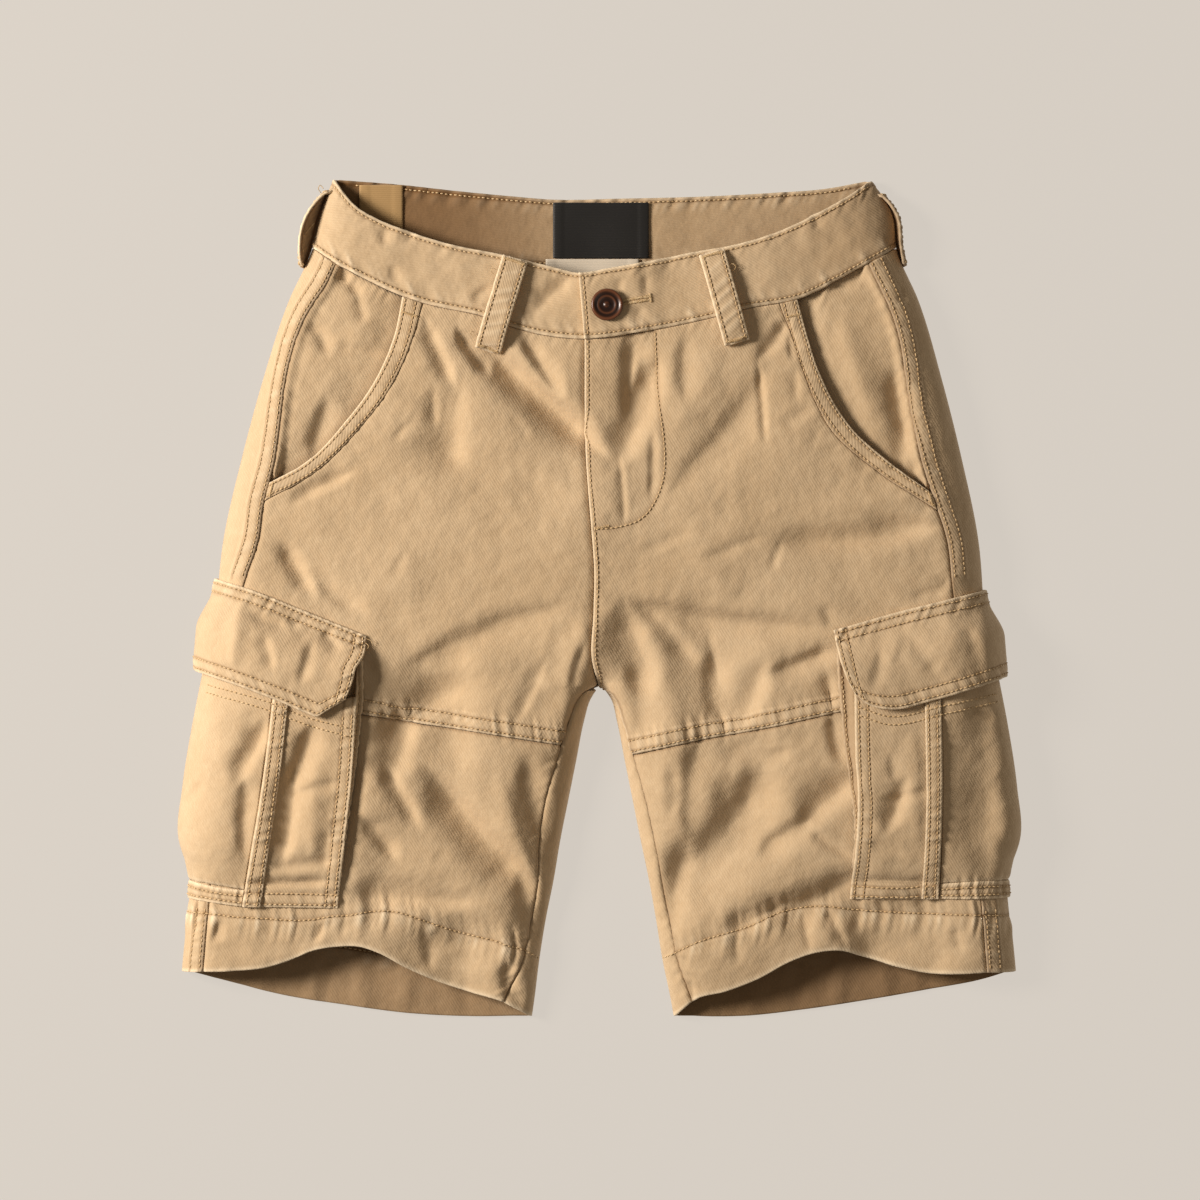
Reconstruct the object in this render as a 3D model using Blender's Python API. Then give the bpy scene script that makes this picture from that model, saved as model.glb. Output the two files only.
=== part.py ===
"""Cargo shorts in washed cotton twill, lying on their back on a table, fronts up.

Every piece that a maker cuts is a closed wall of cloth. Tables and functions are in millimetres,
and the meshes are in metres. The wearer's left lies at +X, the waist at +Y, and +Z is up from the
table. The origin is on the table, under the middle of the garment.
"""

import bmesh
import bpy
import numpy as np
from mathutils import Vector

MM = 0.001

# Driving sizes.
CLOTH = 1.2  # one layer of twill
DOUBLED = 2.2  # two layers: waistband, turned hem, belt loops, flaps
BAND = 1.6  # the slant pocket's stitched band
SEAM_GAP = 0.3  # between neighbours at a seam, and between layers
FOLD = 3.6  # half the height of a folded edge, where the cloth turns under
ROLL = 28.0  # how far in from a side fold the front still rounds over
CROTCH_ROLL = 42.0  # the same beside the inseam and round the crotch
LOOP_WIDTH = 16.5
LOOP_ARCH = 6.2  # room for a belt under a front loop
SIDE_LOOP_ARCH = 7.8  # the same at the sides
BUTTON_RADIUS = 10.0
HEM_DEPTH = 37.0
LEG_LENGTH = 170.0  # from the thigh seam to the hem's edge
BACK_LENGTH = 437.0  # from the waistband's seam to the hem's edge
CROTCH_SHARE = 0.56  # how far down the back its centre seam ends
STRIP_SHARE = 0.2  # of the cargo pocket's patch, covered by the pleat's strip
LOOSE_SHARE = 0.93  # of the cargo pocket's patch, above the base where it is sewn down
INNER_STRIP = 12.0  # of the back, beside the centre seam or the fold between the legs
FACING_DROP = 3.0  # how far the slant pocket's facing lies below the front
BELT_LOOP_STAND = 0.9  # between the cloth and the sewn ends of a belt loop

RIGHT, LEFT = "right", "left"
OUTWARD = {RIGHT: -1.0, LEFT: 1.0}

# The height of the front above the table along the middle of the body or of a leg.
CROWN = {
    "y": (-262, -235, -200, -140, -60, 60, 160, 218, 261),
    "height": (16, 20, 24, 26, 26, 25, 22, 18, 14),
}
# The folded sides, from the waist's corners to the hem.
SIDE_EDGE = {
    "y": (261, 240, 218, 185, 136, 86, 37, -15, -62, -124, -186, -232, -261),
    RIGHT: (-166, -173, -179, -194, -210, -223.5, -234.5, -239.5, -243.5, -250, -255.5, -260, -262),
    LEFT: (167.5, 180.5, 184, 198, 212.5, 225, 235, 239, 243, 249, 253.5, 258, 260),
}
# The side seams lie a little forward of the folded sides.
SIDE_SEAM = {
    "y": (218, 207, 194, 179, 159, 139, 108, 86, 58, 36, 10, -32, -75, -137, -186, -231),
    RIGHT: (-160, -164, -170, -180, -189, -194, -198, -201, -208, -211, -220, -228, -234, -239, -242, -246),
    LEFT: (162, 166, 172, 179, 185, 188, 193, 198, 207, 214, 217, 223, 228, 232, 235, 239),
}
# Down the inside of each leg: the fold between the legs, and the inseam a little forward of it.
INNER_FOLD = {
    "y": (-54, -62, -75, -100, -125, -150, -174, -199, -224, -248, -262),
    RIGHT: (-0.8, -6, -10, -15, -20, -25, -29, -34, -38, -41, -43),
    LEFT: (0.8, 6.5, 10, 15, 20, 25, 30, 34.5, 38.5, 43.5, 46),
}
INSEAM = {
    "y": (-54, -62, -75, -100, -125, -150, -174, -199, -224, -250, -262),
    RIGHT: (-6, -13, -18.5, -26.5, -34, -37.5, -38.5, -42.5, -48, -60, -63),
    LEFT: (3.5, 9, 13.5, 20.5, 27.5, 33, 38, 42.5, 47.5, 57, 60),
}
# The centre front, from the waistband down the fly to the crotch.
CENTRE_FRONT = {"y": (161, 84, 40, 18, -10, -40, -54), "x": (-10, -9, -5.5, -4, -4.5, -5, -1)}
# The waistband's lower seam and top edge, on the front and on the back.
WAIST_SEAM = {
    "x": (-179, -164, -146, -122, -110, -71, -55, -12, 32, 70, 89, 127, 145, 164, 184),
    "y": (218, 207.5, 198, 187, 183, 174, 168, 160.5, 166, 174, 179, 187, 196, 206.5, 218),
}
WAIST_TOP = {
    "x": (-166, -153, -138, -122, -92, -62, -31, -12, 4, 32, 58, 81, 107, 136, 155, 167.5),
    "y": (261, 245, 235.5, 229, 219.5, 213.5, 206, 202, 204.5, 209.5, 215, 219, 226.5, 240, 251, 260),
}
BACK_SEAM = {"x": (-179, -93, 0, 92, 184), "y": (218, 209, 205, 208.5, 218)}
BACK_TOP = {
    "x": (-166, -122, -91, -55, -31, 12, 70, 107, 140, 167.5),
    "y": (261, 257.5, 254, 250.5, 248.5, 249, 250.5, 252.5, 255, 260),
}
# The thigh seams, from the side seam to the inseam.
THIGH_SEAM = {
    RIGHT: {"x": (-233, -186, -146, -105, -62, -23), "y": (-56.5, -64, -71.5, -78, -84.5, -90.5)},
    LEFT: {"x": (20, 61, 105, 145, 185, 227), "y": (-96.5, -87.5, -79.5, -70.5, -63, -56.5)},
}
# The hem's edge on the front lifts into an arch on each leg, and on the back it hangs lower.
HEM_FRONT = {
    RIGHT: {
        "x": (-260, -226, -207, -191, -178, -163, -149, -136, -121, -102, -83, -60, -43),
        "y": (-231, -230, -228, -223, -217.5, -215, -215, -219.5, -228, -237, -243.5, -250, -259),
    },
    LEFT: {
        "x": (46, 57, 79, 98, 117, 132, 149, 164, 184, 202, 221, 258),
        "y": (-259, -249.5, -242.5, -235, -224.5, -219, -217.5, -221.5, -227.5, -231.5, -232, -230),
    },
}
HEM_BACK = {
    RIGHT: {
        "x": (-260, -235, -197, -159, -121, -83, -43),
        "y": (-231.5, -238, -247.5, -253.5, -258.5, -260.5, -260),
    },
    LEFT: {
        "x": (46, 60, 89, 127, 164, 202, 241, 258),
        "y": (-259.5, -260.5, -260.5, -256.5, -251, -244.5, -237, -231.5),
    },
}
# The slant pockets: the open edge, and the inner edge of the stitched band along it.
SLANT_EDGE = {
    RIGHT: ((-122.5, 187), (-127.5, 163), (-142.5, 130), (-156.5, 111), (-184, 83), (-203.5, 72)),
    LEFT: ((122, 186), (127, 166), (134, 143), (157, 103.5), (174, 88), (205, 65.5)),
}
SLANT_INNER = {
    RIGHT: ((-110, 183), (-113, 170.5), (-131, 128.5), (-146, 108.5), (-179, 76), (-208, 60.5)),
    LEFT: ((110.5, 183.5), (117.5, 164.5), (132.5, 122), (141.5, 105.5), (168.5, 80.5), (208.5, 54.5)),
}
# The cargo pockets, each line from the side to the middle of the leg.
POCKET = {
    RIGHT: {
        "mouth": ((-242, -36), (-200.5, -50), (-170, -62), (-149.5, -60)),
        "base_top": ((-254, -174), (-238, -177.5), (-219.5, -179.5)),
        "base_foot": ((-256, -185.5), (-221.5, -190), (-190, -190.5), (-162, -191)),
        "pleat": ((-200.5, -50), (-208.5, -115), (-221.5, -190)),
        "edge": ((-149.5, -60), (-153, -110), (-157.5, -152), (-162, -191)),
        "gusset_spread": 4.0,
    },
    LEFT: {
        "mouth": ((242, -36), (209.5, -46), (180, -56), (156, -50)),
        "base_top": ((252, -174), (231, -174), (209.5, -175.5)),
        "base_foot": ((254, -185), (209, -185.5), (180, -186), (154, -186)),
        "pleat": ((209.5, -46), (210.5, -115), (209, -185.5)),
        "edge": ((156, -50), (156.5, -95), (158, -128), (154, -186)),
        "gusset_spread": 10.0,
    },
}
# How far a cargo pocket stands off the leg, from its mouth to its base: its patch, and its pleat's side.
POCKET_STAND = {
    "share": (0.0, 0.3, 0.6, 0.85, 1.0),
    "patch": (6.0, 7.0, 6.6, 4.4, 0.0),
    "side": (3.0, 7.0, 9.0, 8.2, 0.0),
}
FLAP = {
    RIGHT: {
        "top": ((-237, 13), (-216, 6), (-178, -9), (-144, -22.5)),
        "end": ((-144, -22.5), (-145.5, -35), (-149.5, -41), (-151.5, -49), (-156.5, -62)),
        "foot": ((-251, -44), (-226, -52.5), (-197.5, -63), (-174.5, -72.5), (-156.5, -62)),
    },
    LEFT: {
        "top": ((238.5, 6), (192, -5.5), (143.5, -19)),
        "end": ((143.5, -19), (145.5, -31), (150.5, -47.5), (156, -58)),
        "foot": ((250, -48), (227, -56), (202.5, -63), (178, -68), (164.5, -65), (156, -58)),
    },
}
# The middle line of each front belt loop, from the waistband's top edge to below its seam.
FRONT_LOOP = {RIGHT: ((-52.5, 211), (-70, 153)), LEFT: ((68.5, 215), (84.5, 157.5))}
SIDE_LOOP_Y = {RIGHT: (254.0, 206.0), LEFT: (252.0, 207.0)}
BUTTON_AT = (4.0, 181.5)
UNDERLAP_END, OVERLAP_END = 16.0, -12.0  # where the waistband's two front ends stop
FLY_TOP = {RIGHT: -10.0, LEFT: -9.7}  # where the fronts meet under the waistband
SIDE_SEAM_TOP = {RIGHT: -164.0, LEFT: 166.0}  # where the side seams meet the waistband
WAIST_SIDE_Y = {RIGHT: 261.0, LEFT: 260.0}  # the top of the folded sides
WAIST_CORNER_Y = 218.0  # where the waistband's seam reaches the folded sides
HEM_CORNER_Y = -231.5  # where the hem reaches them
HEM_SEAM_Y = -231.0  # where the side seams reach the hem
INSEAM_FOOT_Y = -250.0
INNER_FOLD_FOOT_Y = -259.5

# Labels inside the back of the waistband: left, right, lower and upper edge, and height of the underside.
LABELS = {
    "main_label": (-29.5, 30.0, 212.0, 246.5, DOUBLED + SEAM_GAP),
    "size_tape": (-149.0, -123.5, 228.0, 252.5, DOUBLED + SEAM_GAP),
    "care_label": (-34.0, 24.0, 180.0, 211.4, DOUBLED + SEAM_GAP),
}
LABEL_THICKNESS = 1.0

# The largest soft folds of the fronts: two ends, half width, and height, which is below 0 for a trough.
FOLDS = (
    # x0, y0, x1, y1, half_width, height
    (-80, 145, -22, 92, 12, -2.6),
    (-95, 160, -60, 96, 12, 1.6),
    (-60, 60, -14, 75, 14, 1.4),
    (94, 150, 97, 105, 10, -2.0),
    (34, 62, 92, 140, 13, 1.6),
    (-60, -20, -14, -52, 12, 1.8),
    (55, -20, 18, -52, 12, 1.8),
    (-140, -115, -112, -150, 12, -2.2),
    (-120, -110, -70, -165, 12, -2.0),
    (95, -150, 145, -118, 12, -2.2),
    (138, -142, 152, -158, 10, -1.6),
)


def smooth(places, values):
    """A smooth function through a table's rows."""
    order = np.argsort(places)
    at = np.asarray(places, float)[order]
    height = np.asarray(values, float)[order]
    slope = np.gradient(height, at)

    def read(q):
        q = np.clip(np.asarray(q, float), at[0], at[-1])
        i = np.clip(np.searchsorted(at, q) - 1, 0, len(at) - 2)
        span = at[i + 1] - at[i]
        t = (q - at[i]) / span
        rise = height[i + 1] - height[i]
        bend = t * (1 - t) * ((slope[i] * span - rise) * (1 - t) - (slope[i + 1] * span - rise) * t)
        return height[i] + rise * t + bend

    return read


crown = smooth(CROWN["y"], CROWN["height"])
side_edge = {side: smooth(SIDE_EDGE["y"], SIDE_EDGE[side]) for side in OUTWARD}
side_seam = {side: smooth(SIDE_SEAM["y"], SIDE_SEAM[side]) for side in OUTWARD}
inner_fold = {side: smooth(INNER_FOLD["y"], INNER_FOLD[side]) for side in OUTWARD}
inseam = {side: smooth(INSEAM["y"], INSEAM[side]) for side in OUTWARD}
centre_front = smooth(CENTRE_FRONT["y"], CENTRE_FRONT["x"])
waist_seam = smooth(WAIST_SEAM["x"], WAIST_SEAM["y"])
waist_top = smooth(WAIST_TOP["x"], WAIST_TOP["y"])
back_seam = smooth(BACK_SEAM["x"], BACK_SEAM["y"])
back_top = smooth(BACK_TOP["x"], BACK_TOP["y"])
thigh_seam = {side: smooth(THIGH_SEAM[side]["x"], THIGH_SEAM[side]["y"]) for side in OUTWARD}
hem_front = {side: smooth(HEM_FRONT[side]["x"], HEM_FRONT[side]["y"]) for side in OUTWARD}
hem_back = {side: smooth(HEM_BACK[side]["x"], HEM_BACK[side]["y"]) for side in OUTWARD}

patch_stand = smooth(POCKET_STAND["share"], POCKET_STAND["patch"])
side_stand = smooth(POCKET_STAND["share"], POCKET_STAND["side"])

POCKET_BASE = CLOTH + 2 * SEAM_GAP  # the outer face of one layer sewn down on the leg
STRIP_LIFT = CLOTH + 3 * SEAM_GAP  # the strip's outer face over the patch's
CROTCH = (0.0, INNER_FOLD["y"][0])


def slant(table, side):
    """One long edge of a slant pocket's band, from the waistband's seam to the side seam."""
    points = [tuple(p) for p in table[side]]
    points[0] = (points[0][0], float(waist_seam(points[0][0])))
    points[-1] = (float(side_seam[side](points[-1][1])), points[-1][1])
    return line(points)


def rise(distance, reach):
    """0 on a folded edge and 1 beyond its reach, as a quarter ellipse."""
    t = np.clip(distance / reach, 0.0, 1.0)
    return np.sqrt(1.0 - (1.0 - t) ** 2)


def folds(x, y):
    """The soft troughs and ridges of the fronts."""
    total = np.zeros(np.broadcast(x, y).shape)
    for x0, y0, x1, y1, half_width, height in FOLDS:
        dx, dy = x1 - x0, y1 - y0
        t = np.clip(((x - x0) * dx + (y - y0) * dy) / (dx * dx + dy * dy), 0.0, 1.0)
        distance = np.hypot(x - x0 - t * dx, y - y0 - t * dy)
        total += height * np.exp(-((distance / half_width) ** 2))
    return total


def front(x, y, lift=0.0):
    """Height of the front's outer face over the table, moved out by lift."""
    x, y = np.asarray(x, float), np.asarray(y, float)
    outer = np.minimum(x - side_edge[RIGHT](y), side_edge[LEFT](y) - x) + lift
    beside = np.where(x < 0, inner_fold[RIGHT](y) - x, x - inner_fold[LEFT](y))
    above = np.hypot(x - CROTCH[0], y - CROTCH[1])
    inner = np.where(y > CROTCH[1], above, beside)
    swell = (crown(y) + folds(x, y) + lift - FOLD) * rise(outer, ROLL + lift)
    return FOLD + swell * rise(inner, CROTCH_ROLL)


def on_front(plan, lift=0.0):
    """Points of the plan, put on the front."""
    return np.dstack([plan[..., 0], plan[..., 1], front(plan[..., 0], plan[..., 1], lift)])


def front_normal(points, reach=0.6):
    """The front's own direction at each point, so that neighbours at a seam share it."""
    x, y = points[..., 0], points[..., 1]
    slope_x = (front(x + reach, y) - front(x - reach, y)) / (2 * reach)
    slope_y = (front(x, y + reach) - front(x, y - reach)) / (2 * reach)
    normal = np.dstack([-slope_x, -slope_y, np.ones_like(x)])
    return normal / np.linalg.norm(normal, axis=2, keepdims=True)


def steps(count, crowd=1.0):
    """Shares from 0 to 1, crowded towards 0 where crowd is over 1."""
    return np.linspace(0.0, 1.0, count) ** crowd


def line(points, corners=False):
    """A curve through a few plan points, as a function of the share of its length."""
    points = np.asarray(points, float)
    chord = np.concatenate([[0.0], np.cumsum(np.linalg.norm(np.diff(points, axis=0), axis=1))])
    dense = np.linspace(0.0, chord[-1], 240)
    if corners or len(points) < 3:
        drawn = np.column_stack([np.interp(dense, chord, points[:, k]) for k in (0, 1)])
    else:
        drawn = np.column_stack([smooth(chord, points[:, k])(dense) for k in (0, 1)])
    length = np.concatenate([[0.0], np.cumsum(np.linalg.norm(np.diff(drawn, axis=0), axis=1))])

    def read(share):
        at = np.asarray(share, float) * length[-1]
        return np.column_stack([np.interp(at, length, drawn[:, k]) for k in (0, 1)])

    return read


def trace(function, start, end, across=False, count=60):
    """Plan points of a function of x, or of y where across is set, from start to end."""
    at = np.linspace(start, end, count)
    return np.column_stack([function(at), at] if across else [at, function(at)])


def quilt(top, foot, start, end, down, along):
    """A grid of plan points between four edges: rows go down, and columns go from start to end."""
    (top_start, top_end), (foot_start, foot_end) = top([0, 1]), foot([0, 1])
    top, foot, start, end = top(along), foot(along), start(down), end(down)
    v, u = down[:, None, None], along[None, :, None]
    grid = (1 - v) * top[None] + v * foot[None]
    grid = grid + (1 - u) * (start[:, None] - (1 - v) * top_start - v * foot_start)
    return grid + u * (end[:, None] - (1 - v) * top_end - v * foot_end)


def inset(points, by=SEAM_GAP / 2):
    """The grid drawn in along its own rows and columns, so that seams keep their gap."""
    points = points.copy()
    for edge, inner in ((0, 1), (-1, -2)):
        step = points[inner] - points[edge]
        points[edge] += by * step / np.linalg.norm(step, axis=1, keepdims=True)
        step = points[:, inner] - points[:, edge]
        points[:, edge] += by * step / np.linalg.norm(step, axis=1, keepdims=True)
    return points


def grid_normal(outer, flip=False):
    """The direction that a grid of points faces."""
    normal = np.cross(np.gradient(outer, axis=1), np.gradient(outer, axis=0))
    normal /= np.linalg.norm(normal, axis=2, keepdims=True)
    return -normal if flip else normal


def wall(name, outer, thickness, material, flip=False, normal=None):
    """A closed wall of cloth with its outer face on a grid of points."""
    rows, cols = outer.shape[:2]
    if normal is None:
        normal = grid_normal(outer, flip)
    depth = np.broadcast_to(np.asarray(thickness, float), (rows, cols))[..., None]
    inner = outer - normal * depth
    mesh = bmesh.new()
    faces = []
    for points in (outer, inner):
        faces.append([[mesh.verts.new(Vector(p) * MM) for p in row] for row in points])
    for side in faces:
        for i in range(rows - 1):
            for j in range(cols - 1):
                mesh.faces.new((side[i][j], side[i][j + 1], side[i + 1][j + 1], side[i + 1][j]))
    rim = [(0, j) for j in range(cols)] + [(i, cols - 1) for i in range(1, rows)]
    rim += [(rows - 1, j) for j in range(cols - 2, -1, -1)] + [(i, 0) for i in range(rows - 2, 0, -1)]
    for (a, b), (c, d) in zip(rim, rim[1:] + rim[:1]):
        mesh.faces.new((faces[0][a][b], faces[0][c][d], faces[1][c][d], faces[1][a][b]))
    return finish_mesh(name, mesh, material)


def finish_mesh(name, mesh, material):
    """Turns a bmesh into a smooth shaded object with its faces pointing out."""
    bmesh.ops.recalc_face_normals(mesh, faces=mesh.faces)
    data = bpy.data.meshes.new(name)
    mesh.to_mesh(data)
    mesh.free()
    data.materials.append(material)
    data.shade_smooth()
    data.set_sharp_from_angle(angle=0.9)
    piece = bpy.data.objects.new(name, data)
    bpy.context.scene.collection.objects.link(piece)
    return piece


def make_material(name, colour, roughness, metallic=0.0):
    """A plain Principled material."""
    material = bpy.data.materials.new(name)
    material.use_nodes = True
    shader = material.node_tree.nodes["Principled BSDF"]
    shader.inputs["Base Color"].default_value = (*colour, 1.0)
    shader.inputs["Roughness"].default_value = roughness
    shader.inputs["Metallic"].default_value = metallic
    return material


def inner_end(table, side):
    """The number of a table's row that lies nearest to the other leg."""
    return table[-1] if side == RIGHT else table[0]


def outer_end(table, side):
    """The number of a table's row that lies nearest to the folded side."""
    return table[0] if side == RIGHT else table[-1]


def turn_under(x, y, side, count=3):
    """Columns from a side fold down to the table: points (row, column, 3)."""
    quarter = np.linspace(0.0, np.pi / 2, count + 1)[1:]
    inward = -OUTWARD[side] * FOLD * (1 - np.cos(quarter))
    return np.dstack([
        x[:, None] + inward[None],
        np.repeat(y[:, None], count, axis=1),
        np.repeat(FOLD * (1 - np.sin(quarter))[None], len(y), axis=0),
    ])


def front_upper(side, twill):
    """The front from the waistband to the thigh seam, cut away along the slant pocket."""
    thigh_x, thigh_y = THIGH_SEAM[side]["x"], THIGH_SEAM[side]["y"]
    inner = inner_end(thigh_x, side)
    top = line(trace(waist_seam, SLANT_INNER[side][0][0], FLY_TOP[side]))
    pocket = slant(SLANT_INNER, side)(steps(40))
    seam = trace(side_seam[side], pocket[-1][1], outer_end(thigh_y, side), across=True, count=30)
    start = line(np.vstack([pocket, seam[1:]]), corners=True)
    foot = line(trace(thigh_seam[side], seam[-1][0], inner))
    fly = trace(centre_front, float(waist_seam(FLY_TOP[side])), CROTCH[1], across=True, count=40)
    leg = trace(inseam[side], CROTCH[1], float(thigh_seam[side](inner)), across=True, count=10)
    end = line(np.vstack([fly, leg[1:]]), corners=True)
    points = inset(on_front(quilt(top, foot, start, end, steps(19), steps(10))))
    wall(f"{side}_front_upper", points, CLOTH, twill, normal=front_normal(points))


def front_lower(side, twill):
    """The front of the leg below the thigh seam, doubled where the hem is turned up."""
    inner, seam_y = inner_end(THIGH_SEAM[side]["x"], side), outer_end(THIGH_SEAM[side]["y"], side)
    hem_x, hem_inner_x = float(side_seam[side](HEM_SEAM_Y)), float(inseam[side](INSEAM_FOOT_Y))
    thigh_y, hem_y = float(thigh_seam[side](inner)), float(hem_front[side](hem_inner_x))
    top = line(trace(thigh_seam[side], float(side_seam[side](seam_y)), inner))
    foot = line(trace(hem_front[side], hem_x, hem_inner_x))
    start = line(trace(side_seam[side], seam_y, float(hem_front[side](hem_x)), across=True))
    end = line(trace(inseam[side], thigh_y, hem_y, across=True))
    down = steps(13)
    depth = np.where(down > 1 - HEM_DEPTH / LEG_LENGTH, DOUBLED, CLOTH)[:, None]
    points = inset(on_front(quilt(top, foot, start, end, down, steps(11))), by=SEAM_GAP)
    wall(f"{side}_front_lower", points, depth, twill, normal=front_normal(points))


def back_strip(side, down):
    """The back's strip on the front's face, from the side seam out to the folded side."""
    top_x, hem_x = SIDE_SEAM_TOP[side], float(side_seam[side](HEM_SEAM_Y))
    top = line(trace(waist_seam, top_x, float(side_edge[side](WAIST_CORNER_Y))))
    foot = line(trace(hem_front[side], hem_x, float(side_edge[side](HEM_CORNER_Y))))
    start = line(trace(side_seam[side], float(waist_seam(top_x)), float(hem_front[side](hem_x)), across=True))
    end = line(trace(side_edge[side], WAIST_CORNER_Y, HEM_CORNER_Y, across=True))
    return on_front(quilt(top, foot, start, end, down, 1 - steps(5, 1.7)[::-1]))


def up_to_inseam(side, fold, meet):
    """Points from the flat underside round the fold between the legs and up to the inseam."""
    points = []
    for angle in (0.0, np.pi / 4, np.pi / 2):
        x = fold[0] + OUTWARD[side] * FOLD * (1 - np.sin(angle))
        points.append((x, fold[1], FOLD * (1 - np.cos(angle))))
    for share in (0.4, 1.0):
        x, y = fold + share * (meet - fold)
        points.append((x, y, float(front(x, y))))
    return points


def back(side, twill):
    """Seat and leg in one: over the side fold, under the garment and up to the inseam."""
    out = OUTWARD[side]
    down = np.concatenate([CROTCH_SHARE * steps(14), CROTCH_SHARE + (1 - CROTCH_SHARE) * steps(10)[1:]])
    below = down > CROTCH_SHARE + 1e-9
    share = np.where(below, (down - CROTCH_SHARE) / (1 - CROTCH_SHARE), down / CROTCH_SHARE)
    strip = back_strip(side, down)
    edge_x, edge_y = strip[:, -1, 0], strip[:, -1, 1]
    under = turn_under(edge_x, edge_y, side)
    # The flat underside, as far as a strip beside the centre seam or the fold between the legs.
    centre_y = float(back_seam(0)) + share * (CROTCH[1] - float(back_seam(0)))
    inner_y = np.where(below, CROTCH[1] + share * (INNER_FOLD_FOOT_Y - CROTCH[1]), centre_y)
    inner_x = np.where(below, inner_fold[side](inner_y), CROTCH[0])
    flat_start = np.column_stack([edge_x - out * FOLD, edge_y])
    flat_end = np.column_stack([inner_x + out * INNER_STRIP, inner_y])
    top = line(trace(back_seam, flat_start[0, 0], flat_end[0, 0]))
    foot = line(trace(hem_back[side], flat_start[-1, 0], flat_end[-1, 0]))
    plan = quilt(top, foot, lambda v: flat_start, lambda v: flat_end, down, steps(5))[:, 1:]
    flat = np.dstack([plan, np.zeros(plan.shape[:2])])
    # Above the crotch the last strip lies flat, and below it goes up to the inseam.
    inward = INNER_STRIP * (1 - steps(6)[1:])
    closing = np.dstack([inner_x[:, None] + out * inward, inner_y[:, None] + 0 * inward])
    closing = np.dstack([closing, np.zeros(closing.shape[:2])])
    inseam_foot = float(hem_front[side](inseam[side](INSEAM_FOOT_Y)))
    for i in np.flatnonzero(below):
        meet_y = CROTCH[1] + share[i] * (inseam_foot - CROTCH[1])
        meet = np.array([float(inseam[side](meet_y)), meet_y])
        closing[i] = up_to_inseam(side, np.array([inner_x[i], inner_y[i]]), meet)
    points = inset(np.concatenate([strip, under, flat, closing], axis=1), by=1.5 * SEAM_GAP)
    normal = grid_normal(points, flip=side == LEFT)
    on_face = strip.shape[1] - 2
    normal[:, :on_face] = front_normal(points[:, :on_face])
    normal[below, -1:] = front_normal(points[below, -1:])
    depth = np.where(down > 1 - HEM_DEPTH / BACK_LENGTH, DOUBLED, CLOTH)[:, None]
    wall(f"{side}_back", points, depth, twill, normal=normal)


def slant_facing(side, twill):
    """The cloth that shows inside the slant pocket, a little below the front."""
    seam_x, under_band = SIDE_SEAM_TOP[side], 0.35
    share = np.linspace(0, 0.86, 30)
    hidden = (1 - under_band) * slant(SLANT_EDGE, side)(share) + under_band * slant(SLANT_INNER, side)(share)
    top = line(trace(waist_seam, seam_x, hidden[0][0]))
    low_y = SLANT_EDGE[side][-1][1] + 10.0
    start = line(trace(side_seam[side], float(waist_seam(seam_x)), low_y, across=True))
    foot = line([(float(side_seam[side](low_y)), low_y), tuple(hidden[-1])])
    plan = quilt(top, foot, start, line(hidden, corners=True), steps(11), steps(6))
    points = inset(on_front(plan), by=SEAM_GAP)
    from_seam = np.clip(np.abs(points[..., 0] - side_seam[side](points[..., 1])) / 12.0, 0, 1)
    points[..., 2] -= FACING_DROP * from_seam * from_seam * (3 - 2 * from_seam)
    wall(f"{side}_slant_facing", points, CLOTH, twill, normal=front_normal(points))


def slant_band(side, twill):
    """The stitched strip along the slant pocket's open edge."""
    edge, inner = slant(SLANT_EDGE, side), slant(SLANT_INNER, side)
    top = line([edge([0])[0], inner([0])[0]])
    foot = line([edge([1])[0], inner([1])[0]])
    plan = quilt(top, foot, edge, inner, steps(18), steps(3))
    points = inset(on_front(plan, 0.4), by=1.8 * SEAM_GAP)
    wall(f"{side}_slant_band", points, BAND, twill, normal=front_normal(points))


def overlap_lift(x):
    """How far the left end of the waistband is raised, where it lies on the right end."""
    t = np.clip((44.0 - x) / 22.0, 0.0, 1.0)
    return (DOUBLED + 2 * SEAM_GAP) * t * t * (3 - 2 * t)


def waistband_front(side, down):
    """The waistband's grid on one front, from the folded side to its end at the middle."""
    end_x = UNDERLAP_END if side == RIGHT else OVERLAP_END
    top_x = float(side_edge[side](WAIST_SIDE_Y[side]))
    top = line(trace(waist_top, top_x, end_x))
    foot = line(trace(waist_seam, float(side_edge[side](WAIST_CORNER_Y)), end_x))
    start = line(trace(side_edge[side], float(waist_top(top_x)), WAIST_CORNER_Y, across=True))
    end = line([(end_x, float(waist_top(end_x))), (end_x, float(waist_seam(end_x)))])
    points = on_front(quilt(top, foot, start, end, down, steps(17, 1.35)))
    if side == LEFT:
        points[..., 2] += overlap_lift(points[..., 0])
    return points


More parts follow.
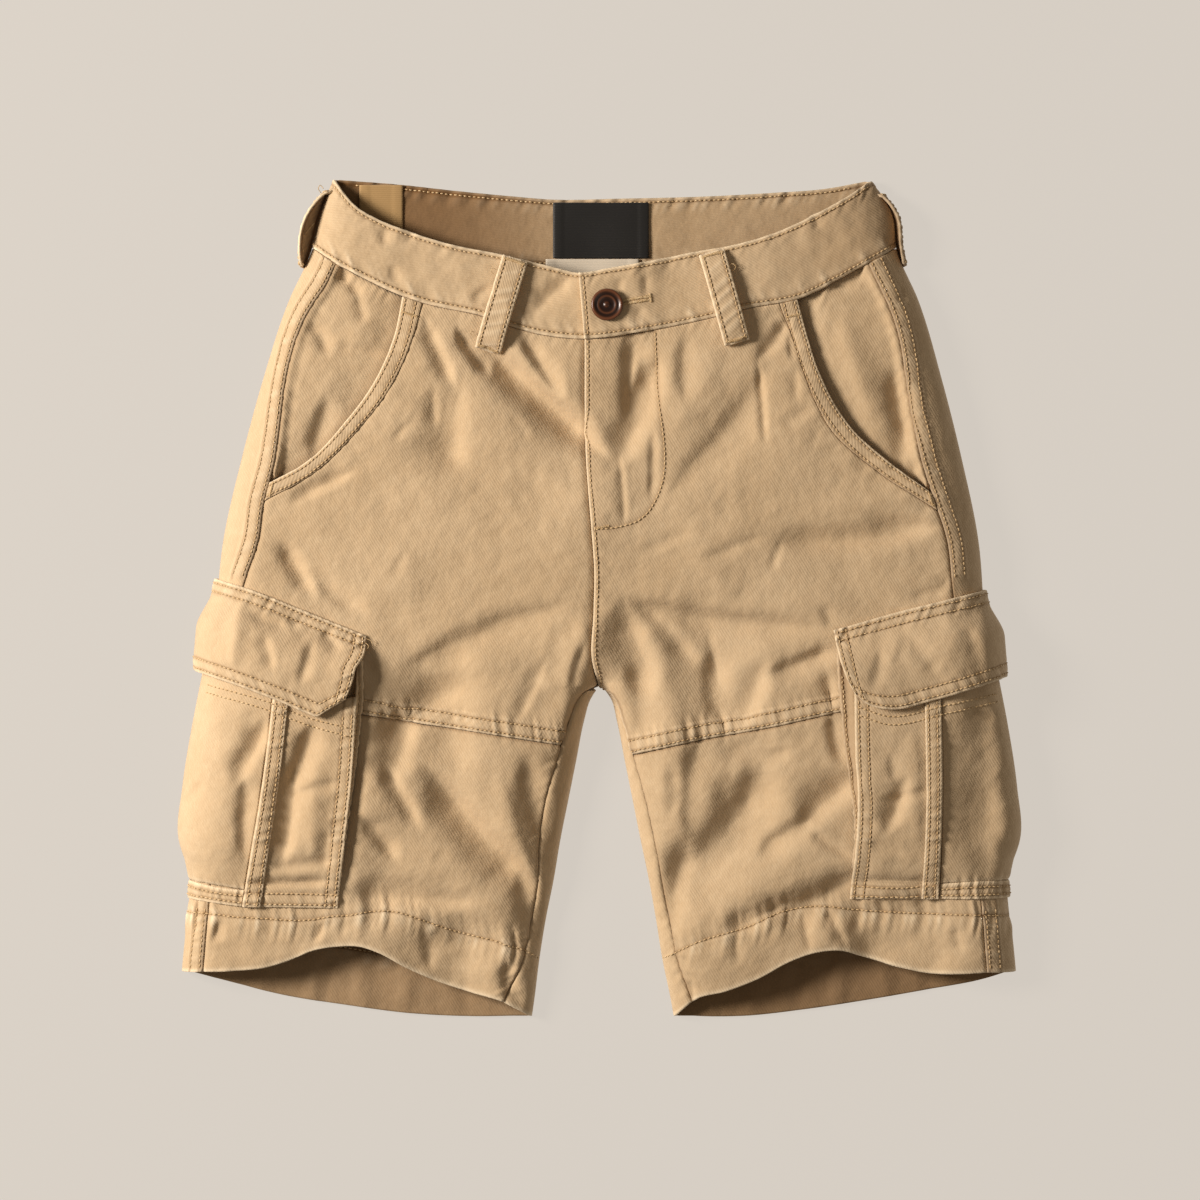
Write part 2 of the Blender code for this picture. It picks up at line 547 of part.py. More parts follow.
def waistband(twill):
    """One doubled strip all round, from the underlap at the right front to the overlap at the left front."""
    down = steps(4)
    right, left = waistband_front(RIGHT, down), waistband_front(LEFT, down)
    right_under = turn_under(right[:, 0, 0], right[:, 0, 1], RIGHT)
    left_under = turn_under(left[:, 0, 0], left[:, 0, 1], LEFT)
    flat_start, flat_end = right_under[:, -1, :2], left_under[:, -1, :2]
    top = line(trace(back_top, flat_start[0, 0], flat_end[0, 0]))
    foot = line(trace(back_seam, flat_start[-1, 0], flat_end[-1, 0]))
    plan = quilt(top, foot, lambda v: flat_start, lambda v: flat_end, down, steps(11))[:, 1:-1]
    flat = np.dstack([plan, np.zeros(plan.shape[:2])])
    points = np.concatenate([right[:, ::-1], right_under, flat, left_under[:, ::-1], left], axis=1)
    points = inset(points, by=SEAM_GAP)
    normal = grid_normal(points)
    on_face = right.shape[1] - 2
    normal[:, :on_face] = front_normal(points[:, :on_face])
    normal[:, -on_face:] = front_normal(points[:, -on_face:])
    wall("waistband", points, DOUBLED, twill, normal=normal)


def front_loop(side, twill):
    """A doubled strap, sewn down at both ends and arched over the waistband."""
    head, tail = np.array(FRONT_LOOP[side][0]), np.array(FRONT_LOOP[side][1])
    t = steps(11)[:, None]
    across = np.linspace(-0.5, 0.5, 3)[None] * LOOP_WIDTH
    run = (tail - head) / np.linalg.norm(tail - head)
    x = head[0] + t * (tail - head)[0] - across * run[1]
    y = head[1] + t * (tail - head)[1] + across * run[0]
    arch = LOOP_ARCH * np.sin(np.pi * t) ** 0.55
    points = np.dstack([x, y, front(x, y) + DOUBLED + BELT_LOOP_STAND + arch])
    wall(f"{side}_front_belt_loop", points, DOUBLED, twill, flip=True)


def side_loop(side, twill):
    """A doubled strap on the side fold, standing out from it."""
    out, t = OUTWARD[side], steps(10)
    y = SIDE_LOOP_Y[side][0] + (SIDE_LOOP_Y[side][1] - SIDE_LOOP_Y[side][0]) * t
    bow = SIDE_LOOP_ARCH * np.sin(np.pi * t) ** 0.6 + DOUBLED + BELT_LOOP_STAND
    edge = side_edge[side](y)
    columns = []
    for inward, height in ((0.9, 0.7), (0.0, FOLD)):
        columns.append(np.column_stack([edge + out * (bow - inward), y, np.full(len(y), height)]))
    for inward in (0.8, 2.4):
        x = edge - out * inward
        columns.append(np.column_stack([x + out * bow, y, front(x, y) + bow / 4]))
    wall(f"{side}_side_belt_loop", np.stack(columns, axis=1), DOUBLED, twill, flip=side == RIGHT)


def over_the_side(plan, lift, side, floor=0.5):
    """A grid on the front that goes on over the side fold and down to just above the table."""
    top = on_front(plan, lift)
    top[:, 0, 0] = side_edge[side](top[:, 0, 1]) + OUTWARD[side] * lift[:, 0]
    top[:, 0, 2] = FOLD + floor
    down = top[:, :1].copy()
    down[..., 2] = floor
    down[..., 0] -= OUTWARD[side] * SEAM_GAP
    return np.concatenate([down, top], axis=1)


def from_side(points, side, lift):
    """A line whose first point is moved out to the raised side fold."""
    points = [tuple(p) for p in points]
    y = points[0][1]
    points[0] = (float(side_edge[side](y)) + OUTWARD[side] * lift, y)
    return line(points)


def side_points(y, side, lift):
    """Plan points down the side fold, moved out by lift."""
    return np.column_stack([side_edge[side](y) + OUTWARD[side] * lift, y])


def patch_plan(side, down, along):
    """Plan points of a cargo pocket's patch, from the pleat's edge to the pocket's front edge."""
    lines = POCKET[side]
    mouth, base = line(lines["mouth"][1:]), line(lines["base_foot"][1:])
    return quilt(mouth, base, line(lines["pleat"]), line(lines["edge"]), down, along)


def cargo_patch(side, twill):
    """The flat patch of the cargo pocket."""
    down = steps(9)
    lift = POCKET_BASE + patch_stand(down / LOOSE_SHARE)[:, None]
    points = inset(on_front(patch_plan(side, down, steps(6)), lift))
    wall(f"{side}_cargo_patch", points, CLOTH, twill, flip=side == RIGHT)


def cargo_strip(side, twill):
    """The doubled strip on the patch, along the pleat's edge."""
    down = steps(9)
    lift = POCKET_BASE + STRIP_LIFT + patch_stand(down / LOOSE_SHARE)[:, None]
    plan = patch_plan(side, down, np.linspace(0.01, STRIP_SHARE, 3))
    wall(f"{side}_cargo_strip", inset(on_front(plan, lift)), CLOTH, twill, flip=side == RIGHT)


def cargo_pleat(side, twill):
    """The full pleat beside the patch, over the side fold and down to the table."""
    lines = POCKET[side]
    down, along = steps(9), steps(7, 2.0)
    at_side, at_patch = side_stand(down)[:, None], patch_stand(down)[:, None]
    lift = POCKET_BASE + at_side + (at_patch - at_side) * along[None]
    y = np.linspace(lines["mouth"][0][1], lines["base_top"][0][1], len(down))
    edge = side_points(y, side, lift[:, 0])
    mouth = line([tuple(edge[0]), lines["mouth"][1]])
    base = line([tuple(edge[-1]), lines["base_top"][-1]])
    seam = line([*lines["pleat"][:-1], lines["base_top"][-1]])
    plan = quilt(mouth, base, lambda v: edge, seam, down, along)
    wall(f"{side}_cargo_pleat", inset(over_the_side(plan, lift, side)), CLOTH, twill, flip=side == RIGHT)


def cargo_gusset(side, twill):
    """The bellows from under the patch's front edge out and down to the leg."""
    down = steps(9)[:-1]
    lift = POCKET_BASE + patch_stand(down / LOOSE_SHARE)[:, None]
    edge = on_front(patch_plan(side, down, np.array([1.0])), lift)[:, 0]
    spread = POCKET[side]["gusset_spread"] * np.clip(1 - down * 1.25, 0.12, 1)
    high = edge.copy()
    high[:, 2] -= CLOTH + 2 * SEAM_GAP
    high[:, 0] += OUTWARD[side] * CLOTH
    foot_x = edge[:, 0] - OUTWARD[side] * spread
    low = np.column_stack([foot_x, edge[:, 1], front(foot_x, edge[:, 1]) + CLOTH + 3 * SEAM_GAP])
    middle = (high + low) / 2
    wall(f"{side}_cargo_gusset", np.stack([high, middle, low], axis=1), CLOTH, twill, flip=side == RIGHT)


def cargo_base_band(side, twill):
    """The band that sews the pocket's base to the leg."""
    top, foot = POCKET[side]["base_top"], POCKET[side]["base_foot"][:2]
    edge = side_points(np.array([top[0][1], foot[0][1]]), side, POCKET_BASE)
    end = line([top[-1], foot[-1]])
    top, foot = from_side(top, side, POCKET_BASE), from_side(foot, side, POCKET_BASE)
    plan = quilt(top, foot, lambda v: edge, end, steps(2), steps(10, 2.0))
    points = inset(over_the_side(plan, np.full(plan.shape[:2], POCKET_BASE), side), by=2 * SEAM_GAP)
    wall(f"{side}_cargo_base_band", points, CLOTH, twill, flip=side == RIGHT)


def cargo_flap(side, twill):
    """The flap over the pocket's mouth, sewn to the leg along its top and free below."""
    shape = FLAP[side]
    down, along = steps(7), steps(10, 2.0)
    sewn = DOUBLED + 2 * SEAM_GAP
    over_patch = POCKET_BASE + STRIP_LIFT + max(POCKET_STAND["patch"]) + 3 * SEAM_GAP + DOUBLED
    over_side = over_patch - STRIP_LIFT
    share = np.clip(down / 0.55, 0, 1)[:, None]
    full = over_side + (over_patch - over_side) * along[None]
    lift = sewn + (full - sewn) * share * share * (3 - 2 * share)
    y = np.linspace(shape["top"][0][1], shape["foot"][0][1], len(down))
    edge = side_points(y, side, lift[:, 0])
    top, foot = from_side(shape["top"], side, sewn), from_side(shape["foot"], side, over_side)
    plan = quilt(top, foot, lambda v: edge, line(shape["end"]), down, along)
    wall(f"{side}_cargo_flap", inset(over_the_side(plan, lift, side)), DOUBLED, twill, flip=side == RIGHT)


def waist_button(horn):
    """A turned button with a rim, a sunk face and a centre stud, lying on the waistband."""
    profile = (
        (0.0, 2.1), (1.4, 2.0), (2.2, 1.5), (4.4, 1.4), (5.6, 1.9), (6.6, 1.5), (7.4, 1.9),
        (8.8, 2.6), (9.6, 2.2), (BUTTON_RADIUS, 1.3), (9.4, 0.5), (0.0, 0.5),
    )
    x, y = BUTTON_AT
    sides = 20
    angle = np.arange(sides) * 2 * np.pi / sides
    normal = Vector(front_normal(np.array([[[x, y]]]), reach=1.0)[0, 0])
    height = float(front(x, y) + overlap_lift(x)) + 2 * SEAM_GAP
    mesh = bmesh.new()
    rings = []
    for radius, level in profile:
        if radius == 0.0:
            rings.append([mesh.verts.new((0, 0, level * MM))])
            continue
        around = [(radius * np.cos(a), radius * np.sin(a), level) for a in angle]
        rings.append([mesh.verts.new(Vector(p) * MM) for p in around])
    for upper, lower in zip(rings, rings[1:]):
        for k in range(sides):
            n = (k + 1) % sides
            if len(upper) == 1:
                mesh.faces.new((upper[0], lower[k], lower[n]))
            elif len(lower) == 1:
                mesh.faces.new((upper[k], lower[0], upper[n]))
            else:
                mesh.faces.new((upper[k], lower[k], lower[n], upper[n]))
    piece = finish_mesh("waist_button", mesh, horn)
    piece.rotation_mode = "QUATERNION"
    piece.rotation_quaternion = Vector((0, 0, 1)).rotation_difference(normal)
    piece.location = Vector((x, y, height)) * MM


def label(name, material):
    """A flat woven label inside the back of the waistband."""
    x0, x1, y0, y1, z = LABELS[name]
    plan = np.dstack(np.meshgrid(np.linspace(x0, x1, 3), np.linspace(y1, y0, 3)))
    points = np.dstack([plan, np.full(plan.shape[:2], z + LABEL_THICKNESS)])
    wall(name, points, LABEL_THICKNESS, material, flip=True)


def build():
    """Clears the scene and makes every piece."""
    for old in list(bpy.data.objects):
        bpy.data.objects.remove(old, do_unlink=True)
    twill = make_material("washed_khaki_twill", (0.58, 0.40, 0.20), 0.85)
    horn = make_material("dark_horn_button", (0.03, 0.012, 0.007), 0.35)
    black_tape = make_material("black_satin_tape", (0.012, 0.011, 0.011), 0.6)
    tan_tape = make_material("tan_tape", (0.55, 0.42, 0.24), 0.8)
    white_tape = make_material("off_white_tape", (0.72, 0.66, 0.56), 0.7)
    waistband(twill)
    for side in (RIGHT, LEFT):
        front_upper(side, twill)
        front_lower(side, twill)
        back(side, twill)
        slant_facing(side, twill)
        slant_band(side, twill)
        front_loop(side, twill)
        side_loop(side, twill)
        cargo_patch(side, twill)
        cargo_strip(side, twill)
        cargo_pleat(side, twill)
        cargo_gusset(side, twill)
        cargo_base_band(side, twill)
        cargo_flap(side, twill)
    waist_button(horn)
    label("main_label", black_tape)
    label("size_tape", tan_tape)
    label("care_label", white_tape)


build()
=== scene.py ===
# %% [markdown]
# # Cargo shorts in washed cotton twill
#
# A pair of cargo shorts lies on its back on a table, fronts up. A maker cuts about thirty pieces for
# it: fronts, backs, a waistband, pocket parts, flaps and belt loops. This lesson makes each of them as
# a thin shell of its own, in washed twill, and sews them with real stitches.
#
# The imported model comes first. It fixes the place and the size of every piece, so each shell is worked
# out in the same frame: the wearer's left is +X, the waist is +Y, and the table is Z = 0.

import functools
import math

import bpy
import numpy as np
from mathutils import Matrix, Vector
from mathutils.bvhtree import BVHTree


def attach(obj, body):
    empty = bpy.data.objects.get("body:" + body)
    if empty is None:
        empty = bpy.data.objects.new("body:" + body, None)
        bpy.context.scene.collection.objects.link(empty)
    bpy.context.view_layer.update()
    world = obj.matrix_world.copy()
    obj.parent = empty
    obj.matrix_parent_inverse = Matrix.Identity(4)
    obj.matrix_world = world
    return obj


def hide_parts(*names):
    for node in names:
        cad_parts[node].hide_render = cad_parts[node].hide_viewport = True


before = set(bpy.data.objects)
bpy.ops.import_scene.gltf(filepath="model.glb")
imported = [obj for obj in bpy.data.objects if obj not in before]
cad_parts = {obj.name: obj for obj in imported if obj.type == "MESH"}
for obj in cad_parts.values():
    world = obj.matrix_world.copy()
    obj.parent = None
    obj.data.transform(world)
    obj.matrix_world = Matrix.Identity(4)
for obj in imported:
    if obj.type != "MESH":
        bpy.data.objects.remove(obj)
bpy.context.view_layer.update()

# %% [markdown]
# ## The sizes of the cloth
#
# Twill for shorts is about 0.6 mm thick, and twice that where seam turnings pile up under it. Tables
# and functions are in millimetres, and `MM` turns them into Blender's metres when a mesh is made.

# %% Sizes
MM = 0.001
CLOTH = 1.1  # one layer of twill, with its seam turnings
DOUBLED = 2.1  # two layers: waistband, turned hem, belt loops, flaps
BAND = 1.5  # the slant pocket's stitched band
SEAM_GAP = 0.3  # between neighbours at a seam, and between layers
EDGE_GAP = 0.3  # how far a sheet's grid stops short of its seam, to leave room for its round edge
EDGE_BULGE = 0.22  # how far that round edge comes out again
FOLD = 3.6  # half the height of a folded edge, where the cloth turns under
ROLL = 28.0  # how far in from a side fold the front still rounds over
CROTCH_ROLL = 42.0  # the same beside the inseam and round the crotch
HEM_DEPTH = 37.0
RIGHT, LEFT = "right", "left"
OUTWARD = {RIGHT: -1.0, LEFT: 1.0}
print("one layer", CLOTH, "mm, doubled", DOUBLED, "mm, hem", HEM_DEPTH, "mm deep")

# %% [markdown]
# ## The outlines
#
# A garment laid flat is best described from above. The first table gives how high its front stands.
# Each seam and folded edge is then a short table of places, read as a smooth curve. A few rows are
# enough, because cloth bends gently between them.

# %% Outlines of the body and the legs
# The height of the front above the table along the middle of the body or of a leg.
CROWN = {
    "y": (-262, -235, -200, -140, -60, 60, 160, 218, 261),
    "height": (16, 20, 24, 26, 26, 25, 22, 18, 14),
}
# The folded sides, from the waist's corners to the hem.
SIDE_EDGE = {
    "y": (261, 240, 218, 185, 136, 86, 37, -15, -62, -124, -186, -232, -261),
    RIGHT: (-166, -173, -179, -194, -210, -223.5, -234.5, -239.5, -243.5, -250, -255.5, -260, -262),
    LEFT: (167.5, 180.5, 184, 198, 212.5, 225, 235, 239, 243, 249, 253.5, 258, 260),
}
# The side seams lie a little forward of the folded sides.
SIDE_SEAM = {
    "y": (218, 207, 194, 179, 159, 139, 108, 86, 58, 36, 10, -32, -75, -137, -186, -231),
    RIGHT: (-160, -164, -170, -180, -189, -194, -198, -201, -208, -211, -220, -228, -234, -239, -242, -246),
    LEFT: (162, 166, 172, 179, 185, 188, 193, 198, 207, 214, 217, 223, 228, 232, 235, 239),
}
# Down the inside of each leg: the fold between the legs, and the inseam a little forward of it.
INNER_FOLD = {
    "y": (-54, -62, -75, -100, -125, -150, -174, -199, -224, -248, -262),
    RIGHT: (-0.8, -6, -10, -15, -20, -25, -29, -34, -38, -41, -43),
    LEFT: (0.8, 6.5, 10, 15, 20, 25, 30, 34.5, 38.5, 43.5, 46),
}
INSEAM = {
    "y": (-54, -62, -75, -100, -125, -150, -174, -199, -224, -250, -262),
    RIGHT: (-6, -13, -18.5, -26.5, -34, -37.5, -38.5, -42.5, -48, -60, -63),
    LEFT: (3.5, 9, 13.5, 20.5, 27.5, 33, 38, 42.5, 47.5, 57, 60),
}
# The centre front, from the waistband down the fly to the crotch.
CENTRE_FRONT = {"y": (161, 84, 40, 18, -10, -40, -54), "x": (-10, -9, -5.5, -4, -4.5, -5, -1)}
# The waistband's lower seam and top edge, on the front and on the back.
WAIST_SEAM = {
    "x": (-179, -164, -146, -122, -110, -71, -55, -12, 32, 70, 89, 127, 145, 164, 184),
    "y": (218, 207.5, 198, 187, 183, 174, 168, 160.5, 166, 174, 179, 187, 196, 206.5, 218),
}
WAIST_TOP = {
    "x": (-166, -153, -138, -122, -92, -62, -31, -12, 4, 32, 58, 81, 107, 136, 155, 167.5),
    "y": (261, 245, 235.5, 229, 219.5, 213.5, 206, 202, 204.5, 209.5, 215, 219, 226.5, 240, 251, 260),
}
BACK_SEAM = {"x": (-179, -93, 0, 92, 184), "y": (218, 209, 205, 208.5, 218)}
BACK_TOP = {
    "x": (-166, -122, -91, -55, -31, 12, 70, 107, 140, 167.5),
    "y": (261, 257.5, 254, 250.5, 248.5, 249, 250.5, 252.5, 255, 260),
}
# The thigh seams, from the side seam to the inseam.
THIGH_SEAM = {
    RIGHT: {"x": (-233, -186, -146, -105, -62, -23), "y": (-56.5, -64, -71.5, -78, -84.5, -90.5)},
    LEFT: {"x": (227, 185, 145, 105, 61, 20), "y": (-56.5, -63, -70.5, -79.5, -87.5, -96.5)},
}
# The hem's edge on the front lifts into an arch on each leg, and on the back it hangs lower.
HEM_FRONT = {
    RIGHT: {
        "x": (-260, -226, -207, -191, -178, -163, -149, -136, -121, -102, -83, -60, -43),
        "y": (-231, -230, -228, -223, -217.5, -215, -215, -219.5, -228, -237, -243.5, -250, -259),
    },
    LEFT: {
        "x": (46, 57, 79, 98, 117, 132, 149, 164, 184, 202, 221, 258),
        "y": (-259, -249.5, -242.5, -235, -224.5, -219, -217.5, -221.5, -227.5, -231.5, -232, -230),
    },
}
HEM_BACK = {
    RIGHT: {
        "x": (-260, -235, -197, -159, -121, -83, -43),
        "y": (-231.5, -238, -247.5, -253.5, -258.5, -260.5, -260),
    },
    LEFT: {
        "x": (46, 60, 89, 127, 164, 202, 241, 258),
        "y": (-259.5, -260.5, -260.5, -256.5, -251, -244.5, -237, -231.5),
    },
}

# %% [markdown]
# ## The pockets, flaps, loops and labels
#
# The slant pockets are cut into the fronts. The cargo pockets are bellows: a flat patch in front, a
# full pleat round the side fold, and a narrow gusset towards the leg, all of them sewn down by a band
# along the base. `POCKET_STAND` says how far the full pocket stands off the leg.

# %% Outlines of the pockets and the trims
# The slant pockets: the open edge, and the inner edge of the stitched band along it.
SLANT_EDGE = {
    RIGHT: ((-122.5, 187), (-127.5, 163), (-142.5, 130), (-156.5, 111), (-184, 83), (-203.5, 72)),
    LEFT: ((122, 186), (127, 166), (134, 143), (157, 103.5), (174, 88), (205, 65.5)),
}
SLANT_INNER = {
    RIGHT: ((-110, 183), (-113, 170.5), (-131, 128.5), (-146, 108.5), (-179, 76), (-208, 60.5)),
    LEFT: ((110.5, 183.5), (117.5, 164.5), (132.5, 122), (141.5, 105.5), (168.5, 80.5), (208.5, 54.5)),
}
# The cargo pockets. The mouth and base lines run from the side inward, and the other two run down.
POCKET = {
    RIGHT: {
        "mouth": ((-242, -36), (-200.5, -50), (-170, -62), (-149.5, -60)),
        "base_top": ((-254, -174), (-238, -177.5), (-219.5, -179.5)),
        "base_foot": ((-256, -185.5), (-221.5, -190), (-190, -190.5), (-162, -191)),
        "pleat": ((-200.5, -50), (-208.5, -115), (-221.5, -190)),
        "edge": ((-149.5, -60), (-153, -110), (-157.5, -152), (-162, -191)),
        "gusset_spread": 4.0,
    },
    LEFT: {
        "mouth": ((242, -36), (209.5, -46), (180, -56), (156, -50)),
        "base_top": ((252, -174), (231, -174), (209.5, -175.5)),
        "base_foot": ((254, -185), (209, -185.5), (180, -186), (154, -186)),
        "pleat": ((209.5, -46), (210.5, -115), (209, -185.5)),
        "edge": ((156, -50), (156.5, -95), (158, -128), (154, -186)),
        "gusset_spread": 10.0,
    },
}
# How far a cargo pocket stands off the leg, from its mouth to its base: its patch, and its pleat's side.
POCKET_STAND = {
    "share": (0.0, 0.3, 0.6, 0.85, 1.0),
    "patch": (6.0, 7.0, 6.6, 4.4, 0.0),
    "side": (3.0, 7.0, 9.0, 8.2, 0.0),
}
FLAP = {
    RIGHT: {
        "top": ((-237, 13), (-216, 6), (-178, -9), (-144, -22.5)),
        "end": ((-144, -22.5), (-145.5, -35), (-149.5, -41), (-151.5, -49), (-156.5, -62)),
        "foot": ((-251, -44), (-226, -52.5), (-197.5, -63), (-179, -70.8), (-174, -72.5), (-170, -70),
                 (-156.5, -62)),
    },
    LEFT: {
        "top": ((238.5, 6), (192, -5.5), (143.5, -19)),
        "end": ((143.5, -19), (145.5, -31), (150.5, -47.5), (156, -58)),
        "foot": ((250, -48), (227, -56), (202.5, -63), (178, -68), (164.5, -65), (156, -58)),
    },
}
# The middle line of each front belt loop, from the waistband's top edge to below its seam.
FRONT_LOOP = {RIGHT: ((-52.5, 211), (-70, 153)), LEFT: ((68.5, 215), (84.5, 157.5))}
SIDE_LOOP_Y = {RIGHT: (254.0, 206.0), LEFT: (252.0, 207.0)}
BUTTON_AT = (4.0, 181.5)
UNDERLAP_END, OVERLAP_END = 16.0, -12.0  # where the waistband's two front ends stop
OVERLAP_LEAN = 1.8  # how far the upper one's end leans each way
FLY_TOP = {RIGHT: -10.0, LEFT: -9.7}  # where the fronts meet under the waistband
SIDE_SEAM_TOP = {RIGHT: -164.0, LEFT: 166.0}  # where the side seams meet the waistband
WAIST_SIDE_Y = {RIGHT: 261.0, LEFT: 260.0}  # the top of the folded sides
WAIST_CORNER_Y = 218.0  # where the waistband's seam reaches the folded sides
HEM_CORNER_Y = -231.5  # where the hem reaches them
HEM_SEAM_Y = -231.0  # where the side seams reach the hem
INSEAM_FOOT_Y = -250.0
INNER_FOLD_FOOT_Y = -259.5
LABELS = {  # left, right, lower and upper edge
    "main_label": (-29.5, 30.0, 212.0, 246.5),
    "size_tape": (-150.0, -123.0, 226.0, 257.5),
    "care_label": (-34.0, 24.0, 180.0, 211.4),
}
STRIP_SHARE = 0.2  # of the cargo pocket's patch, covered by the pleat's strip
LOOSE_SHARE = 0.93  # of the cargo pocket's patch, above the base where it is sewn down
INNER_STRIP = 12.0  # of the back, beside the centre seam or the fold between the legs
CROTCH_SHARE = 0.56  # how far down the back its centre seam ends
FACING_DROP = 3.0  # how far the slant pocket's facing lies below the front
LOOP_WIDTH = 16.5
LOOP_ARCH = 4.6  # room for a belt under a front loop
SIDE_LOOP_ARCH = {RIGHT: 7.8, LEFT: 1.2}  # the same at the sides, where the left one lies closer
SIDE_LOOP_PAINTED_SHADE = {RIGHT: 0.0, LEFT: 0.45}  # painted shade on the left loop's outer face, which lies in the waistband's shadow
BELT_LOOP_STAND = 0.9  # between the cloth and the sewn ends of a belt loop

# %% [markdown]
# ## Curves through tables
#
# `smooth` reads a table as a cubic curve, and `line` does the same for plan points, by the share of
# their length. `zones` spaces the rows and columns of a grid: close together where a seam needs fine
# detail, and wider in the middle of a panel, which keeps the triangle count down.

# %% Curves and spacings
def smooth(places, values):
    """A smooth function through a table's rows."""
    order = np.argsort(places)
    at = np.asarray(places, float)[order]
    height = np.asarray(values, float)[order]
    slope = np.gradient(height, at)

    def read(q):
        q = np.clip(np.asarray(q, float), at[0], at[-1])
        i = np.clip(np.searchsorted(at, q) - 1, 0, len(at) - 2)
        span = at[i + 1] - at[i]
        t = (q - at[i]) / span
        rise = height[i + 1] - height[i]
        bend = t * (1 - t) * ((slope[i] * span - rise) * (1 - t) - (slope[i + 1] * span - rise) * t)
        return height[i] + rise * t + bend

    return read


def line(points, corners=False):
    """A curve through a few plan points, as a function of the share of its length."""
    points = np.asarray(points, float)
    chord = lengths_along(points)
    dense = np.linspace(0.0, chord[-1], 240)
    if corners or len(points) < 3:
        drawn = np.column_stack([np.interp(dense, chord, points[:, k]) for k in (0, 1)])
    else:
        drawn = np.column_stack([smooth(chord, points[:, k])(dense) for k in (0, 1)])
    length = lengths_along(drawn)

    def read(share):
        at = np.asarray(share, float) * length[-1]
        return np.column_stack([np.interp(at, length, drawn[:, k]) for k in (0, 1)])

    return read


def trace(function, start, end, across=False, count=60):
    """Plan points of a function of x, or of y where across is set, from start to end."""
    at = np.linspace(start, end, count)
    return np.column_stack([function(at), at] if across else [at, function(at)])


def ease(t):
    """0 below 0 and 1 above 1, with a soft start and end."""
    t = np.clip(t, 0.0, 1.0)
    return t * t * (3 - 2 * t)


def unit(steps):
    """The same directions, each of length 1."""
    return steps / np.linalg.norm(steps, axis=-1, keepdims=True)


def lengths_along(points):
    """How far along a path each of its points lies."""
    return np.concatenate([[0.0], np.cumsum(np.linalg.norm(np.diff(points, axis=0), axis=1))])


def zones(*parts):
    """Shares from 0 to 1 along a run: each part is its length and its step, in mm."""
    at = [0.0]
    for length, step in parts:
        count = max(1, round(length / step))
        at.extend(at[-1] + length * np.arange(1, count + 1) / count)
    return np.array(at) / at[-1]


crown = smooth(CROWN["y"], CROWN["height"])
centre_front = smooth(CENTRE_FRONT["y"], CENTRE_FRONT["x"])
side_edge, side_seam, inner_fold, inseam = (
    {side: smooth(table["y"], table[side]) for side in OUTWARD}
    for table in (SIDE_EDGE, SIDE_SEAM, INNER_FOLD, INSEAM)
)
thigh_seam, hem_front, hem_back = (
    {side: smooth(table[side]["x"], table[side]["y"]) for side in OUTWARD}
    for table in (THIGH_SEAM, HEM_FRONT, HEM_BACK)
)
waist_seam, waist_top, back_seam, back_top = (
    smooth(table["x"], table["y"]) for table in (WAIST_SEAM, WAIST_TOP, BACK_SEAM, BACK_TOP)
)
patch_stand, side_stand = (smooth(POCKET_STAND["share"], POCKET_STAND[key]) for key in ("patch", "side"))

SEWN_LAYER = 1.2  # one layer of a pocket, sewn down
POCKET_BASE = SEWN_LAYER + 2 * SEAM_GAP  # its outer face over the leg
STRIP_LIFT = SEWN_LAYER + 3 * SEAM_GAP  # the strip's outer face over the patch's
CROTCH = (0.0, INNER_FOLD["y"][0])
print("the waist is", round(side_edge[LEFT](250) - side_edge[RIGHT](250)), "mm from side to side")

# %% [markdown]
# ## The height of the front
#
# The front of a flat garment is a low pillow: it rises steeply from the folded sides and from the
# crotch, and it is nearly level in between. A quarter ellipse gives that rise. Everything that is
# sewn on top is worked out from the same function with a lift, so that no layer cuts another.

# %% The pillow form
def rise(distance, reach):
    """0 on a folded edge and 1 beyond its reach, as a quarter ellipse."""
    t = np.clip(distance / reach, 0.0, 1.0)
    return np.sqrt(1.0 - (1.0 - t) ** 2)


def pillow(x, y, lift=0.0, relief=0.0):
    """Height of the front's outer face over the table, moved out by lift, with folds of its own."""
    x, y = np.asarray(x, float), np.asarray(y, float)
    outer = np.minimum(x - side_edge[RIGHT](y), side_edge[LEFT](y) - x) + lift
    beside = np.where(x < 0, inner_fold[RIGHT](y) - x, x - inner_fold[LEFT](y))
    above = np.hypot(x - CROTCH[0], y - CROTCH[1])
    inner = np.where(y > CROTCH[1], above, beside)
    swell = (crown(y) + relief + lift - FOLD) * rise(outer, ROLL + lift)
    return FOLD + swell * rise(inner, CROTCH_ROLL)


print("height at the middle of the right leg:", round(float(pillow(-130.0, -120.0)), 1), "mm")

# %% [markdown]
# ## Smooth chance
#
# Cloth is never even. Two small functions give smooth random height: one along a line, for puckers
# beside a seam, and one over a plane, for ripples. Each is a sum of sine waves with seeded directions
# and phases, so the same garment comes out every time.

# %% Random waves
def wavy_line(seed, longest, shortest, count=12):
    """A smooth random function of one length in mm, about 1 high."""
    chance = np.random.default_rng(seed)
    lengths = np.geomspace(longest, shortest, count) * chance.uniform(0.9, 1.1, count)
    phases = chance.uniform(0, 2 * np.pi, count)
    heights = chance.uniform(0.5, 1.0, count)
    heights /= np.sqrt((heights**2).sum() / 2)

    def read(q):
        return sum(h * np.sin(2 * np.pi * q / w + p) for h, w, p in zip(heights, lengths, phases))

    return read


